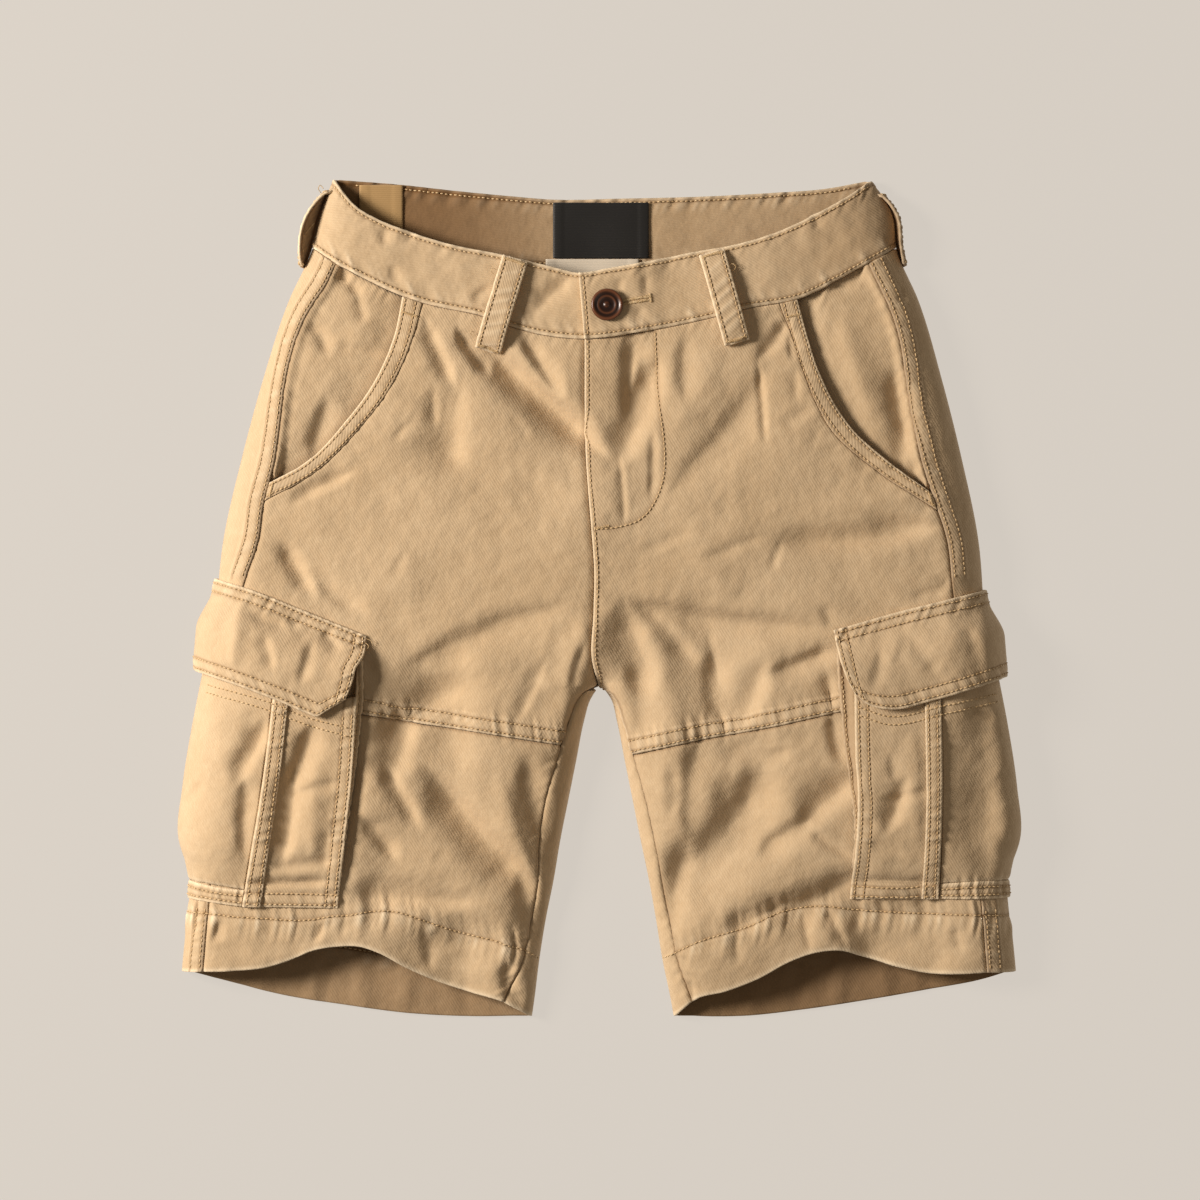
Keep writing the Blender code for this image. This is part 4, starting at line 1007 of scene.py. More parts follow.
def make_cloth(node, points, depth=CLOTH, out=0.0, inside=0.0, wear=0.0, shade=0.0, flip=False,
               material=None, slot="twill", held="laid", on=("table",), grain="plan"):
    """A shell on a grid: out raises its outer face, and inside raises its inner one.

    The weave's grain follows the plan or the edges, or it is turned from the plan by some degrees.
    """
    rows, cols = points.shape[:2]
    normal = facing(points, flip)
    outer = points + normal * np.broadcast_to(out, (rows, cols))[..., None]
    inner = points - normal * np.broadcast_to(depth + inside, (rows, cols))[..., None]
    rim = rim_of(rows, cols)
    near = (np.clip(rim[0], 1, rows - 2), np.clip(rim[1], 1, cols - 2))
    away = unit(outer[rim[0], rim[1]] - outer[near])
    ring = (outer[rim[0], rim[1]] + inner[rim[0], rim[1]]) / 2 + EDGE_BULGE * away
    vertices = np.concatenate([outer.reshape(-1, 3), inner.reshape(-1, 3), ring])
    run = edges(points)
    if isinstance(grain, str):
        flat = points[..., :2] if grain == "plan" else np.dstack([run["start"], -run["top"]])
    else:
        flat = swung(points, grain)
    numbers = {"wear": both_faces(wear, points, rim), "shade": both_faces(shade, points, rim)}
    faces = shell_faces(rows, cols, flip).tolist()
    piece = new_piece(node + "_cloth", vertices, faces, material or twill, numbers)
    spread = flat.reshape(-1, 2)
    lay_weave(piece.data, np.concatenate([spread, spread, flat[rim[0], rim[1]]]))
    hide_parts(node)
    SHEETS[node] = {"outer": (outer, facing(outer, flip)), "inner": (inner, -facing(inner, flip))}
    return piece


# %% [markdown]
# ## The fronts above the thigh seam
#
# Each upper front runs from the waistband down to the felled thigh seam, and it is cut away along the
# slant pocket. The left one laps over the right at the fly, so its edge is raised, and the curved line
# of stitches that holds the fly's hidden facing pulls a groove in it.

# %% Upper fronts
FLY_STITCH = ((33.8, 165), (35, 134.5), (35, 63), (30.5, 55), (23.3, 48.4), (12, 44.6), (-3.5, 42.8))
FLY_STAND = 1.1  # how far the left front's edge lies over the right front
FLY_WIDTH = 34.0
FLY_ROW = 2.1  # the row of stitches beside the fly's edge
SLANT_FOOT_Y = 60.0  # the front's outer edge is a seam below this, and the pocket's edge above


def slant(table, side):
    """One long edge of a slant pocket's band, from the waistband's seam to the side seam."""
    points = [tuple(p) for p in table[side]]
    points[0] = (points[0][0], waist_seam(points[0][0]))
    points[-1] = (side_seam[side](points[-1][1]), points[-1][1])
    return line(points)


def off_line(x, y, points):
    """How far plan points lie from a line through a few others."""
    drawn = line(points)(np.linspace(0, 1, 40))
    best = np.full(x.shape, 1e9)
    for (x0, y0), (x1, y1) in zip(drawn[:-1], drawn[1:]):
        dx, dy = x1 - x0, y1 - y0
        t = np.clip(((x - x0) * dx + (y - y0) * dy) / (dx * dx + dy * dy), 0, 1)
        best = np.minimum(best, np.hypot(x - x0 - t * dx, y - y0 - t * dy))
    return best


def front_upper(side):
    """The front from the waistband to the thigh seam."""
    inner_x, seam_y = THIGH_SEAM[side]["x"][-1], THIGH_SEAM[side]["y"][0]
    top = line(trace(waist_seam, SLANT_INNER[side][0][0], FLY_TOP[side]))
    pocket = slant(SLANT_INNER, side)(np.linspace(0, 1, 40))
    seam = trace(side_seam[side], pocket[-1][1], seam_y, across=True, count=30)
    start = line(np.vstack([pocket, seam[1:]]), corners=True)
    foot = line(trace(thigh_seam[side], seam[-1][0], inner_x))
    fly = trace(centre_front, waist_seam(FLY_TOP[side]), CROTCH[1], across=True, count=40)
    leg = trace(inseam[side], CROTCH[1], thigh_seam[side](inner_x), across=True, count=10)
    end = line(np.vstack([fly, leg[1:]]), corners=True)
    down, along = zones((10, 1.2), (214, 2.1), (20, 1.05)), zones((8, 1.2), (150, 2.1), (52, 1.5))
    points = inset(on_front(quilt(top, foot, start, end, down, along)))
    away, x, y = measured(points)
    crests = puckers(x, away["foot"], THIGH_WAVES[side], 20, size=0.5, lean=0.12)
    out = felled(away["foot"]) + crests + puckers(x, away["top"], WAIST_WAVES, 8, size=0.12)
    seam = ease((SLANT_FOOT_Y - y) / 4)
    out += puckers(y, away["start"], SIDE_WAVES[side], 14, size=0.25)
    out += (0.25 + 0.45 * seam) * rolled_edge(away["start"], 1.0)
    wear = worn(away["foot"], crests)
    # Painted shade in the grooves and along the seam at the outer edge.
    shade = holed(away["foot"], (ROW_NEAR, ROW_FAR)) + (0.1 + 0.3 * seam) * bell(away["start"], 0, 1.1)
    if side == LEFT:
        fly_line = off_line(x, y, FLY_STITCH)
        out += FLY_STAND * (1 - ease(away["end"] / FLY_WIDTH)) + rolled_edge(away["end"], 0.5)
        out += sunk_rows(away["end"], (FLY_ROW,)) - 0.35 * bell(fly_line, 0, 1.4)
        out += puckers(y, away["end"], FLAP_WAVES, 12, size=0.22)
        wear += 0.5 * bell(away["end"], 0.3, 1.3)
        # Painted shade in the fly's grooves.
        shade += holed(away["end"], (FLY_ROW,)) + 0.4 * bell(fly_line, 0, 1.3)
    else:
        out -= 0.9 * bell(away["end"], 0, 2.2)
        # Painted shade where the left front laps over this edge.
        shade += 0.5 * bell(away["end"], 0, 1.6)
    make_cloth(f"{side}_front_upper", points, out=out, wear=wear, shade=shade, flip=side == RIGHT,
               on=(f"{side}_back",))


for side in OUTWARD:
    front_upper(side)

# %% [markdown]
# ## The fronts of the legs
#
# Below the thigh seam the front is one plain panel down to the turned hem. The hem is doubled cloth,
# so it stands a little proud below its row of stitches, and the row itself puckers. The fold at its
# edge has worn pale.

# %% Lower fronts and the line of the hem's stitches
# The row that holds the turned hem, on the front.
HEM_STITCH = {
    RIGHT: {
        "x": (-257, -241, -228, -212, -176, -167, -155, -146, -124, -112, -93, -75, -65, -56, -47, -38.5),
        "y": (-194, -194.5, -196, -197, -197.7, -196, -195.3, -193.6, -193.8, -197.8, -204.6, -209.4,
              -211.7, -215, -217.4, -223),
    },
    LEFT: {
        "x": (37, 46, 58, 74, 89, 111, 136, 155, 184, 235, 254),
        "y": (-223.6, -219.3, -213, -207.5, -203.4, -194.1, -190.3, -192.2, -194.1, -195.3, -196),
    },
}
hem_stitch = {side: smooth(HEM_STITCH[side]["x"], HEM_STITCH[side]["y"]) for side in OUTWARD}


def hem_relief(x, y, side):
    """Height, shade and wear beside the hem's row of stitches."""
    below = hem_stitch[side](x) - y
    waves = puckers(x, np.abs(below), HEM_WAVES[side], 18, size=0.44, lean=0.15)
    out = 0.45 * ease(below / 2.5 + 0.5) - 0.45 * bell(below, 0, 1.1) + waves
    return out, 0.5 * bell(below, 0, 1.0), np.clip(waves, 0, 1) * bell(below, 2, 5)


def front_lower(side):
    """The front of the leg from the thigh seam to the hem."""
    inner_x, seam_y = THIGH_SEAM[side]["x"][-1], THIGH_SEAM[side]["y"][0]
    hem_x, hem_inner_x = side_seam[side](HEM_SEAM_Y), inseam[side](INSEAM_FOOT_Y)
    thigh_y, hem_y = thigh_seam[side](inner_x), hem_front[side](hem_inner_x)
    top = line(trace(thigh_seam[side], side_seam[side](seam_y), inner_x))
    foot = line(trace(hem_front[side], hem_x, hem_inner_x))
    start = line(trace(side_seam[side], seam_y, hem_front[side](hem_x), across=True))
    end = line(trace(inseam[side], thigh_y, hem_y, across=True))
    down, along = zones((12, 1.1), (108, 2.1), (50, 1.25)), zones((8, 1.2), (190, 2.0), (10, 1.2))
    points = inset(on_front(quilt(top, foot, start, end, down, along)))
    away, x, y = measured(points)
    hem_out, hem_shade, hem_wear = hem_relief(x, y, side)
    out = puckers(x, away["top"], THIGH_WAVES[side], 7, size=0.2, lean=0.1) + rolled_edge(away["top"])
    out += rolled_edge(away["start"]) + rolled_edge(away["end"], 0.5) + rolled_edge(away["foot"], 0.12)
    out += hem_out + puckers(y, away["end"], SIDE_WAVES[side], 10, size=0.2)
    wear = 0.9 * bell(away["foot"], 0, 2.0) + hem_wear
    # Painted shade in the hem's groove, under the thigh seam and along the inseam.
    shade = hem_shade + 0.45 * bell(away["top"], 0, 1.3) + 0.35 * bell(away["end"], 0, 1.1)
    inside = (DOUBLED - CLOTH) * (1 - ease(away["foot"] - HEM_DEPTH + 0.5))
    make_cloth(f"{side}_front_lower", points, out=out, inside=inside, wear=wear, shade=shade,
               flip=side == RIGHT, on=(f"{side}_back",))


for side in OUTWARD:
    front_lower(side)

# %% [markdown]
# ## The backs
#
# Seat and leg are one panel. Its outer edge comes over the folded side to a felled seam on the front's
# face, it lies flat on the table, and inside each leg it comes up round the fold to the inseam. Only
# its inner face shows at the hems and the waist, so that face has the turned hem and its stitches.

# %% Backs
INSIDE_ROW = HEM_DEPTH - 1.8  # the hem's row seen from inside, above the hem's edge
UNDER_POCKET = (-188.0, 16.0)  # where the flap and the pocket hide the side seam
BACK_PAINTED_SHADE = {RIGHT: 0.56, LEFT: 0.74}  # painted shade over the back's inner face, darker on the left leg
# Low ridges and troughs of the hem's inner face.
INSIDE_CREASES = (
    (-238, -212, -240, -242, 4, 0.7, 1),
    (-224, -205, -222, -250, 5, -0.8, 0),
    (-209, -205, -211, -250, 5, 0.8, -1),
    (-180, -216, -177, -256, 5, 0.9, 1),
    (-168, -214, -171, -254, 4, -0.7, 0),
    (-152, -216, -148, -258, 6, 0.9, -1),
    (-118, -222, -121, -260, 6, 0.8, 0),
    (-86, -236, -84, -262, 5, -0.7, 0),
    (66, -236, 69, -262, 5, 0.7, 0),
    (96, -226, 93, -260, 6, 0.8, 1),
    (121, -220, 124, -256, 5, -0.8, 0),
    (149, -216, 146, -254, 6, 0.9, 0),
    (176, -214, 178, -250, 5, 0.8, -1),
    (205, -212, 203, -246, 5, -0.8, 0),
    (229, -208, 232, -240, 4, 0.7, 0),
)


def back_strip(side, down, along):
    """The back's strip on the front's face, from the side seam out to the folded side."""
    top_x, hem_x = SIDE_SEAM_TOP[side], side_seam[side](HEM_SEAM_Y)
    top = line(trace(waist_seam, top_x, side_edge[side](WAIST_CORNER_Y)))
    foot = line(trace(hem_front[side], hem_x, side_edge[side](HEM_CORNER_Y)))
    start = line(trace(side_seam[side], waist_seam(top_x), hem_front[side](hem_x), across=True))
    end = line(trace(side_edge[side], WAIST_CORNER_Y, HEM_CORNER_Y, across=True))
    return on_front(quilt(top, foot, start, end, down, along))


def turn_under(x, y, side, count=6):
    """Columns from a side fold down to the table: points (row, column, 3)."""
    quarter = np.linspace(0.0, np.pi / 2, count + 1)[1:]
    inward = -OUTWARD[side] * FOLD * (1 - np.cos(quarter))
    height = np.tile(FOLD * (1 - np.sin(quarter)), (len(y), 1))
    return np.dstack([x[:, None] + inward[None], np.repeat(y[:, None], count, axis=1), height])


CLOSING_TURN = np.linspace(0.0, np.pi / 2, 6)
CLOSING_SHARE = np.linspace(0.0, 1.0, 9)[1:]


def up_to_inseam(side, fold, meet):
    """Points from the flat underside round the fold between the legs and up to the inseam."""
    points = []
    for angle in CLOSING_TURN:
        x = fold[0] + OUTWARD[side] * FOLD * (1 - np.sin(angle))
        points.append((x, fold[1], FOLD * (1 - np.cos(angle))))
    for share in CLOSING_SHARE:
        x, y = fold + share * (meet - fold)
        points.append((x, y, float(front(np.array([x]), np.array([y]))[0])))
    return points


def back(side):
    """Seat and leg in one, from the side seam round the garment to the inseam."""
    out_x = OUTWARD[side]
    seat, leg = zones((12, 1.2), (235, 2.6)), zones((140, 2.6), (52, 1.3))
    down = np.concatenate([CROTCH_SHARE * seat, CROTCH_SHARE + (1 - CROTCH_SHARE) * leg[1:]])
    below = down > CROTCH_SHARE + 1e-9
    share = np.where(below, (down - CROTCH_SHARE) / (1 - CROTCH_SHARE), down / CROTCH_SHARE)
    strip = back_strip(side, down, zones((14, 1.0), (6, 0.7)))
    edge_x, edge_y = strip[:, -1, 0], strip[:, -1, 1]
    under = turn_under(edge_x, edge_y, side)
    centre_y = back_seam(0) + share * (CROTCH[1] - back_seam(0))
    inner_y = np.where(below, CROTCH[1] + share * (INNER_FOLD_FOOT_Y - CROTCH[1]), centre_y)
    inner_x = np.where(below, inner_fold[side](inner_y), CROTCH[0])
    flat_start = np.column_stack([edge_x - out_x * FOLD, edge_y])
    flat_end = np.column_stack([inner_x + out_x * INNER_STRIP, inner_y])
    top = line(trace(back_seam, flat_start[0, 0], flat_end[0, 0]))
    foot = line(trace(hem_back[side], flat_start[-1, 0], flat_end[-1, 0]))
    across = zones((210, 4.2))
    plan = quilt(top, foot, lambda v: flat_start, lambda v: flat_end, down, across)[:, 1:]
    flat = np.dstack([plan, np.zeros(plan.shape[:2])])
    columns = len(CLOSING_TURN) + len(CLOSING_SHARE)
    inward = INNER_STRIP * (1 - np.linspace(0, 1, columns + 1)[1:])
    closing = np.dstack([inner_x[:, None] + out_x * inward, inner_y[:, None] + 0 * inward])
    closing = np.dstack([closing, np.zeros(closing.shape[:2])])
    inseam_foot = hem_front[side](inseam[side](INSEAM_FOOT_Y))
    for i in np.flatnonzero(below):
        meet_y = CROTCH[1] + share[i] * (inseam_foot - CROTCH[1])
        meet = np.array([inseam[side](meet_y), meet_y])
        closing[i] = up_to_inseam(side, np.array([inner_x[i], inner_y[i]]), meet)
    points = inset(np.concatenate([strip, under, flat, closing], axis=1))
    away, x, y = measured(points)
    face = np.zeros(points.shape[:2])
    face[:, :strip.shape[1]] = 1.0
    bare = 1 - ease((UNDER_POCKET[1] - y) / 6) * ease((y - UNDER_POCKET[0]) / 6)
    crests = face * puckers(y, away["start"], SIDE_WAVES[side], 14, size=0.26, lean=0.2)
    out = face * bare * (felled(away["start"]) + crests)
    hem_out, hem_shade, hem_wear = hem_relief(x, y, side)
    out += face * hem_out
    closing_face = np.zeros(points.shape[:2])
    closing_face[below, -len(CLOSING_SHARE):] = 1.0
    end_puckers = puckers(y, away["end"], SIDE_WAVES[side], 10, 0.2)
    out += closing_face * (rolled_edge(away["end"], 0.8) + end_puckers)
    wear = face * bare * worn(away["start"], crests) + 0.9 * bell(away["foot"], 0, 1.5) + face * hem_wear
    holes = holed(away["start"], (ROW_NEAR, ROW_FAR))
    # Painted shade in the grooves and along the side seam.
    shade = face * (bare * holes + hem_shade + 0.5 * bell(away["start"], 0, 1.3))
    in_waves = puckers(x, np.abs(away["foot"] - INSIDE_ROW), INSIDE_WAVES, 14, size=0.3)
    inside = (DOUBLED - CLOTH) * (1 - ease(away["foot"] - HEM_DEPTH + 0.5))
    lying = (1 - face) * (1 - closing_face) * ease((away["start"] - 30) / 10)
    inside = inside + lying * (in_waves - 0.35 * bell(away["foot"], INSIDE_ROW, 0.9))
    inside += lying * creases(x, y, INSIDE_CREASES)
    hem_top = 0.5 * bell(away["foot"], HEM_DEPTH, 1.2)
    inside_wear = lying * (hem_top + np.clip(in_waves, 0, 0.5)) + wear * (1 - lying)
    # Painted shade over the whole inner face, with the inside row's groove.
    inside_shade = lying * holed(away["foot"], (INSIDE_ROW,)) + BACK_PAINTED_SHADE[side]
    make_cloth(f"{side}_back", points, out=out, inside=inside, wear=(wear, inside_wear),
               shade=(shade, inside_shade), flip=side == LEFT)


for side in OUTWARD:
    back(side)

# %% [markdown]
# ## The slant pockets
#
# The pocket's facing lies a few millimetres under the front, which gives the pocket its dark edge, and
# painted shade along the band's edge darkens it further.
# The front's edge there is finished with a stitched band 11 mm wide, sewn in two rows and puckered.

# %% Slant pockets
BAND_ROWS = (2.0, 8.8)
BAND_TACKS = {"top": 9.0, "foot": 3.0}
BAND_STAND = 0.35
UNDER_BAND = 0.35  # how much of the band the facing goes on under


def slant_facing(side):
    """The cloth that shows inside the slant pocket."""
    seam_x, share = SIDE_SEAM_TOP[side], np.linspace(0, 0.985, 40)
    edge, inner = slant(SLANT_EDGE, side)(share), slant(SLANT_INNER, side)(share)
    hidden = (1 - UNDER_BAND) * edge + UNDER_BAND * inner
    top = line(trace(waist_seam, seam_x, hidden[0][0]))
    tip_y = SLANT_EDGE[side][-1][1]
    low_y = tip_y - 5.0
    start = line(trace(side_seam[side], waist_seam(seam_x), low_y, across=True))
    foot = line([(side_seam[side](low_y), low_y), tuple(hidden[-1])])
    plan = quilt(top, foot, start, line(hidden, corners=True), zones((125, 1.8)), zones((56, 1.8)))
    points = inset(on_front(plan))
    from_seam = ease(np.abs(points[..., 0] - side_seam[side](points[..., 1])) / 7.0)
    under_tip = 1 - ease((points[..., 1] - tip_y) / 8.0)
    points[..., 2] -= FACING_DROP * np.maximum(from_seam, under_tip)
    points[..., 2] -= 3.0 * ease(1 - edges(points)["end"] / 26.0) * ease(from_seam - 0.02)
    away, x, y = measured(points)
    out = rolled_edge(away["start"]) + puckers(y, away["start"], SIDE_WAVES[side], 12, size=0.3)
    out += puckers(x, away["top"], WAIST_WAVES, 14, size=0.3)
    # Painted shade along the side seam, and a wide band of it under the band's edge.
    shade = 0.45 * bell(away["start"], 0, 1.2) + 0.45 * bell(away["end"], 0, 6)
    make_cloth(f"{side}_slant_facing", points, out=out, shade=shade, flip=side == RIGHT,
               on=(f"{side}_back",))


def slant_band(side):
    """The stitched strip along the slant pocket's open edge."""
    edge, inner = slant(SLANT_EDGE, side), slant(SLANT_INNER, side)
    top = line([edge([0])[0], inner([0])[0]])
    foot = line([edge([1])[0], inner([1])[0]])
    plan = quilt(top, foot, edge, inner, zones((150, 1.1)), zones((12, 0.85)))
    points = inset(on_front(plan, 0.2))
    away, y = edges(points), points[..., 1]
    crests = puckers(y, away["start"], POCKET_WAVES, 30, size=0.15, lean=0.2)
    out = BAND_STAND + rolled_edge(away["start"], 0.5) + rolled_edge(away["end"], 0.35) + crests
    out += sunk_rows(away["start"], BAND_ROWS)
    wear = 0.7 * bell(away["start"], 0.2, 1.1) + np.clip(0.04 + 0.4 * crests, 0, 0.3)
    # Painted shade in the grooves and along the inner edge.
    shade = holed(away["start"], BAND_ROWS) + 0.15 * bell(away["end"], 0, 0.8)
    make_cloth(f"{side}_slant_band", points, BAND, out=out, wear=wear, shade=shade, flip=side == RIGHT,
               held="folded", on=(f"{side}_slant_facing",), grain="edges")


for side in OUTWARD:
    slant_facing(side)
    slant_band(side)

# %% [markdown]
# ## The waistband
#
# One doubled strip goes all round. It laps left over right at the front, turns under at both sides,
# and lies flat at the back, where its inner face shows above the fronts. A row of stitches runs just
# inside each edge, and the strip stands proud of the fronts, because it lies over their top edges.

# %% Waistband
WAIST_ROWS = (2.6, 2.8)  # below the top edge, and above the lower seam
WAIST_STAND = 0.8
UNDER_LAP = DOUBLED + 2 * SEAM_GAP
OVERLAP_ROW = 2.6  # the row of stitches beside the upper one's front end
WAIST_GRAIN, LEFT_GRAIN = -50.0, -26.0  # how far the strip's diagonals are turned


def overlap_lift(x):
    """How far the left end of the waistband is raised, where it lies on the right end."""
    return UNDER_LAP * ease((44.0 - x) / 22.0)


def waistband_front(side, down):
    """The waistband's grid on one front, from the folded side to its end at the middle."""
    end_x, lean = (UNDERLAP_END, 0.0) if side == RIGHT else (OVERLAP_END, OVERLAP_LEAN)
    top_x, high_x, low_x = side_edge[side](WAIST_SIDE_Y[side]), end_x - lean, end_x + lean
    top = line(trace(waist_top, top_x, high_x))
    foot = line(trace(waist_seam, side_edge[side](WAIST_CORNER_Y), low_x))
    start = line(trace(side_edge[side], waist_top(top_x), WAIST_CORNER_Y, across=True))
    end = line([(high_x, waist_top(high_x)), (low_x, waist_seam(low_x))])
    points = on_front(quilt(top, foot, start, end, down, zones((12, 0.8), (170, 2.0), (10, 1.0))))
    if side == LEFT:
        points[..., 2] += overlap_lift(points[..., 0])
    return points


def waistband():
    """One strip all round, from the underlap at the right front to the overlap at the left front."""
    down = zones((8, 1.0), (26, 1.6), (8, 1.0))
    right, left = waistband_front(RIGHT, down), waistband_front(LEFT, down)
    right_under = turn_under(right[:, 0, 0], right[:, 0, 1], RIGHT)
    left_under = turn_under(left[:, 0, 0], left[:, 0, 1], LEFT)
    flat_start, flat_end = right_under[:, -1, :2], left_under[:, -1, :2]
    top = line(trace(back_top, flat_start[0, 0], flat_end[0, 0]))
    foot = line(trace(back_seam, flat_start[-1, 0], flat_end[-1, 0]))
    plan = quilt(top, foot, lambda v: flat_start, lambda v: flat_end, down, zones((330, 2.2)))[:, 1:-1]
    flat = np.dstack([plan, np.zeros(plan.shape[:2])])
    points = np.concatenate([right[:, ::-1], right_under, flat, left_under[:, ::-1], left], axis=1)
    points = inset(points)
    away, x = edges(points), points[..., 0]
    on_right, overlap = np.zeros(points.shape[:2]), np.zeros(points.shape[:2])
    on_right[:, :right.shape[1]] = 1.0
    overlap[:, -left.shape[1]:] = 1.0
    face = on_right + overlap
    crests = puckers(x, away["foot"], WAIST_WAVES, 13, size=0.36)
    top_crests = puckers(x, away["top"], FLAP_WAVES, 11, size=0.3)
    end_row = overlap * bell(away["end"], OVERLAP_ROW, 0.9)
    sunk = sunk_rows(away["top"], WAIST_ROWS[:1]) + sunk_rows(away["foot"], WAIST_ROWS[1:])
    out = WAIST_STAND + crests + top_crests + rolled_edge(away["foot"], 0.9) + rolled_edge(away["top"], 0.5)
    out = face * (out + sunk - 0.4 * end_row)
    wear = 0.75 * bell(away["top"], 0.2, 1.4) + 0.5 * bell(away["foot"], 0.6, 1.2)
    wear += 0.6 * np.clip(crests, 0, 1) + overlap * 0.5 * bell(away["end"], 0.3, 1.2)
    shade = holed(away["top"], WAIST_ROWS[:1]) + holed(away["foot"], WAIST_ROWS[1:])
    # Painted shade at the overlap's row, and over the overlapping end towards the wearer's left side, which
    # rolls away from the lamp.
    shade += 0.5 * end_row + 0.2 * overlap * ease((x - 70) / 100)
    painted_shade = 0.27 + 0.6 * ease((20 - x) / 130)  # painted shade: the inside of the back is darker towards the wearer's right, where the front's raised side shades it
    in_crests = puckers(x, away["top"], INSIDE_WAVES, 12, size=0.55)
    in_crests += puckers(x, away["foot"], WAIST_WAVES, 10, size=0.3)
    inside = (1 - face) * (in_crests + sunk + rolled_edge(away["top"], 0.4))
    inside_wear = 0.7 * wear + (1 - face) * np.clip(in_crests, 0, 0.4)
    make_cloth("waistband", points, DOUBLED, out=out, inside=inside, wear=(wear, inside_wear),
               shade=(shade, shade + painted_shade), held="folded",
               on=("table", "right_front_upper", "left_front_upper"),
               grain=np.where(overlap > 0, LEFT_GRAIN, WAIST_GRAIN))


waistband()

# %% [markdown]
# ## The belt loops
#
# A belt loop is a strap of doubled cloth with two rows of stitches, folded under and tacked at both
# ends. The two at the front lie over the waistband, and the two at the sides stand out from the fold.

# %% Belt loops
LOOP_ROW = 2.3  # from each long edge
LOOP_TACK = 2.6  # from each end
LOOP_FOOT = 1.5  # how high a side loop's lower edge lies over the table
LOOP_TUCK = 2.4  # how far in from the fold its upper edge starts
LOOP_RISE = 5.0  # how far its middle rises over its ends
LOOP_BULGE = (1.2, 0.0, -0.4)  # how far the strap itself bows out, for the wearer's left side


def strap_relief(away):
    """Height, wear and shade of a strap with a row inside each long edge."""
    crests = puckers(away["top"], away["start"], POCKET_WAVES, 30, size=0.16)
    out = crests + rolled_edge(away["start"], 0.5) + rolled_edge(away["end"], 0.5)
    out += sunk_rows(away["start"], (LOOP_ROW,)) + sunk_rows(away["end"], (LOOP_ROW,))
    wear = 0.7 * bell(away["start"], 0, 1.2) + 0.7 * bell(away["end"], 0, 1.2) + np.clip(crests * 2, 0, 0.3)
    wear = wear + 0.6 * bell(away["top"], 0, 1.5) + 0.6 * bell(away["foot"], 0, 1.5)
    shade = holed(away["start"], (LOOP_ROW,)) + holed(away["end"], (LOOP_ROW,))
    return out, wear, shade


def front_loop(side):
    """A strap sewn down at both ends over the waistband."""
    head, tail = np.array(FRONT_LOOP[side][0]), np.array(FRONT_LOOP[side][1])
    t = zones((62, 1.0))[:, None]
    across = np.linspace(-0.5, 0.5, 17)[None] * LOOP_WIDTH
    run = (tail - head) / np.linalg.norm(tail - head)
    x = head[0] + t * (tail - head)[0] - across * run[1]
    y = head[1] + t * (tail - head)[1] + across * run[0]
    arch = LOOP_ARCH * np.sin(np.pi * t) ** 0.55
    points = inset(np.dstack([x, y, front(x, y) + DOUBLED + BELT_LOOP_STAND + arch]))
    out, wear, shade = strap_relief(edges(points))
    make_cloth(f"{side}_front_belt_loop", points, DOUBLED, out=out, wear=wear, shade=shade, flip=True,
               held="folded", on=("waistband", f"{side}_front_upper"), grain="edges")


def side_loop(side):
    """A strap on the side fold, standing out from it."""
    out_x, t = OUTWARD[side], zones((48, 1.0))
    y = SIDE_LOOP_Y[side][0] + (SIDE_LOOP_Y[side][1] - SIDE_LOOP_Y[side][0]) * t
    arch = np.sin(np.pi * t) ** 0.6
    sewn = DOUBLED + BELT_LOOP_STAND
    edge = side_edge[side](y)
    low_x = edge + out_x * (sewn - 1.25 + 0.2 * arch)
    low = np.column_stack([low_x, y, np.full(len(y), LOOP_FOOT)])
    tucked = edge - out_x * LOOP_TUCK
    high_x = edge + out_x * (sewn - LOOP_TUCK + (SIDE_LOOP_ARCH[side] + LOOP_TUCK) * arch)
    high_x = np.where(arch > 0, high_x, tucked)
    high = np.column_stack([high_x, y, front(tucked, y) + 1.0 + LOOP_RISE * arch])
    share = np.linspace(0, 1, 14)[None, :, None]
    bulge = np.sin(np.pi * share) * np.array(LOOP_BULGE) * (out_x, 1.0, 1.0)
    points = inset(low[:, None] * (1 - share) + high[:, None] * share + bulge, 0.2)
    out, wear, shade = strap_relief(edges(points))
    # Painted shade: the left loop's outer face and both loops' inner faces are darkened, where the
    # waistband shades them.
    make_cloth(f"{side}_side_belt_loop", points, DOUBLED, out=out, wear=wear,
               shade=(shade + SIDE_LOOP_PAINTED_SHADE[side], shade + 0.6), flip=side == RIGHT,
               held="folded", on=("waistband", f"{side}_back"), grain="edges")


for side in OUTWARD:
    front_loop(side)
    side_loop(side)

# %% [markdown]
# ## The cargo pockets
#
# The patch, its strip, the pleat, the gusset and the base band share the pocket's own creases, so
# they bend together. The pleat goes on over the folded side and down to just above the table.

# %% Cargo pockets
SIDE_FLOOR = 0.5  # between a piece at the side and the table
SIDE_TUCK = 0.8  # how far in its lower edge lies from its widest place


def over_the_side(plan, lift, side, extra):
    """A grid on the front that goes on over the side fold and down to just above the table."""
    top = on_front(plan, lift, extra)
    top[:, 0, 0] = side_edge[side](top[:, 0, 1]) + OUTWARD[side] * lift[:, 0]
    top[:, 0, 2] = FOLD + SIDE_FLOOR
    turned = []
    for angle in np.linspace(np.pi / 2, 0, 5)[:-1]:
        column = top[:, 0].copy()
        column[:, 2] = SIDE_FLOOR + FOLD * (1 - np.sin(angle))
        column[:, 0] -= OUTWARD[side] * (SEAM_GAP + SIDE_TUCK * (1 - np.cos(angle)))
        turned.append(column)
    return np.concatenate([np.stack(turned, axis=1), top], axis=1)


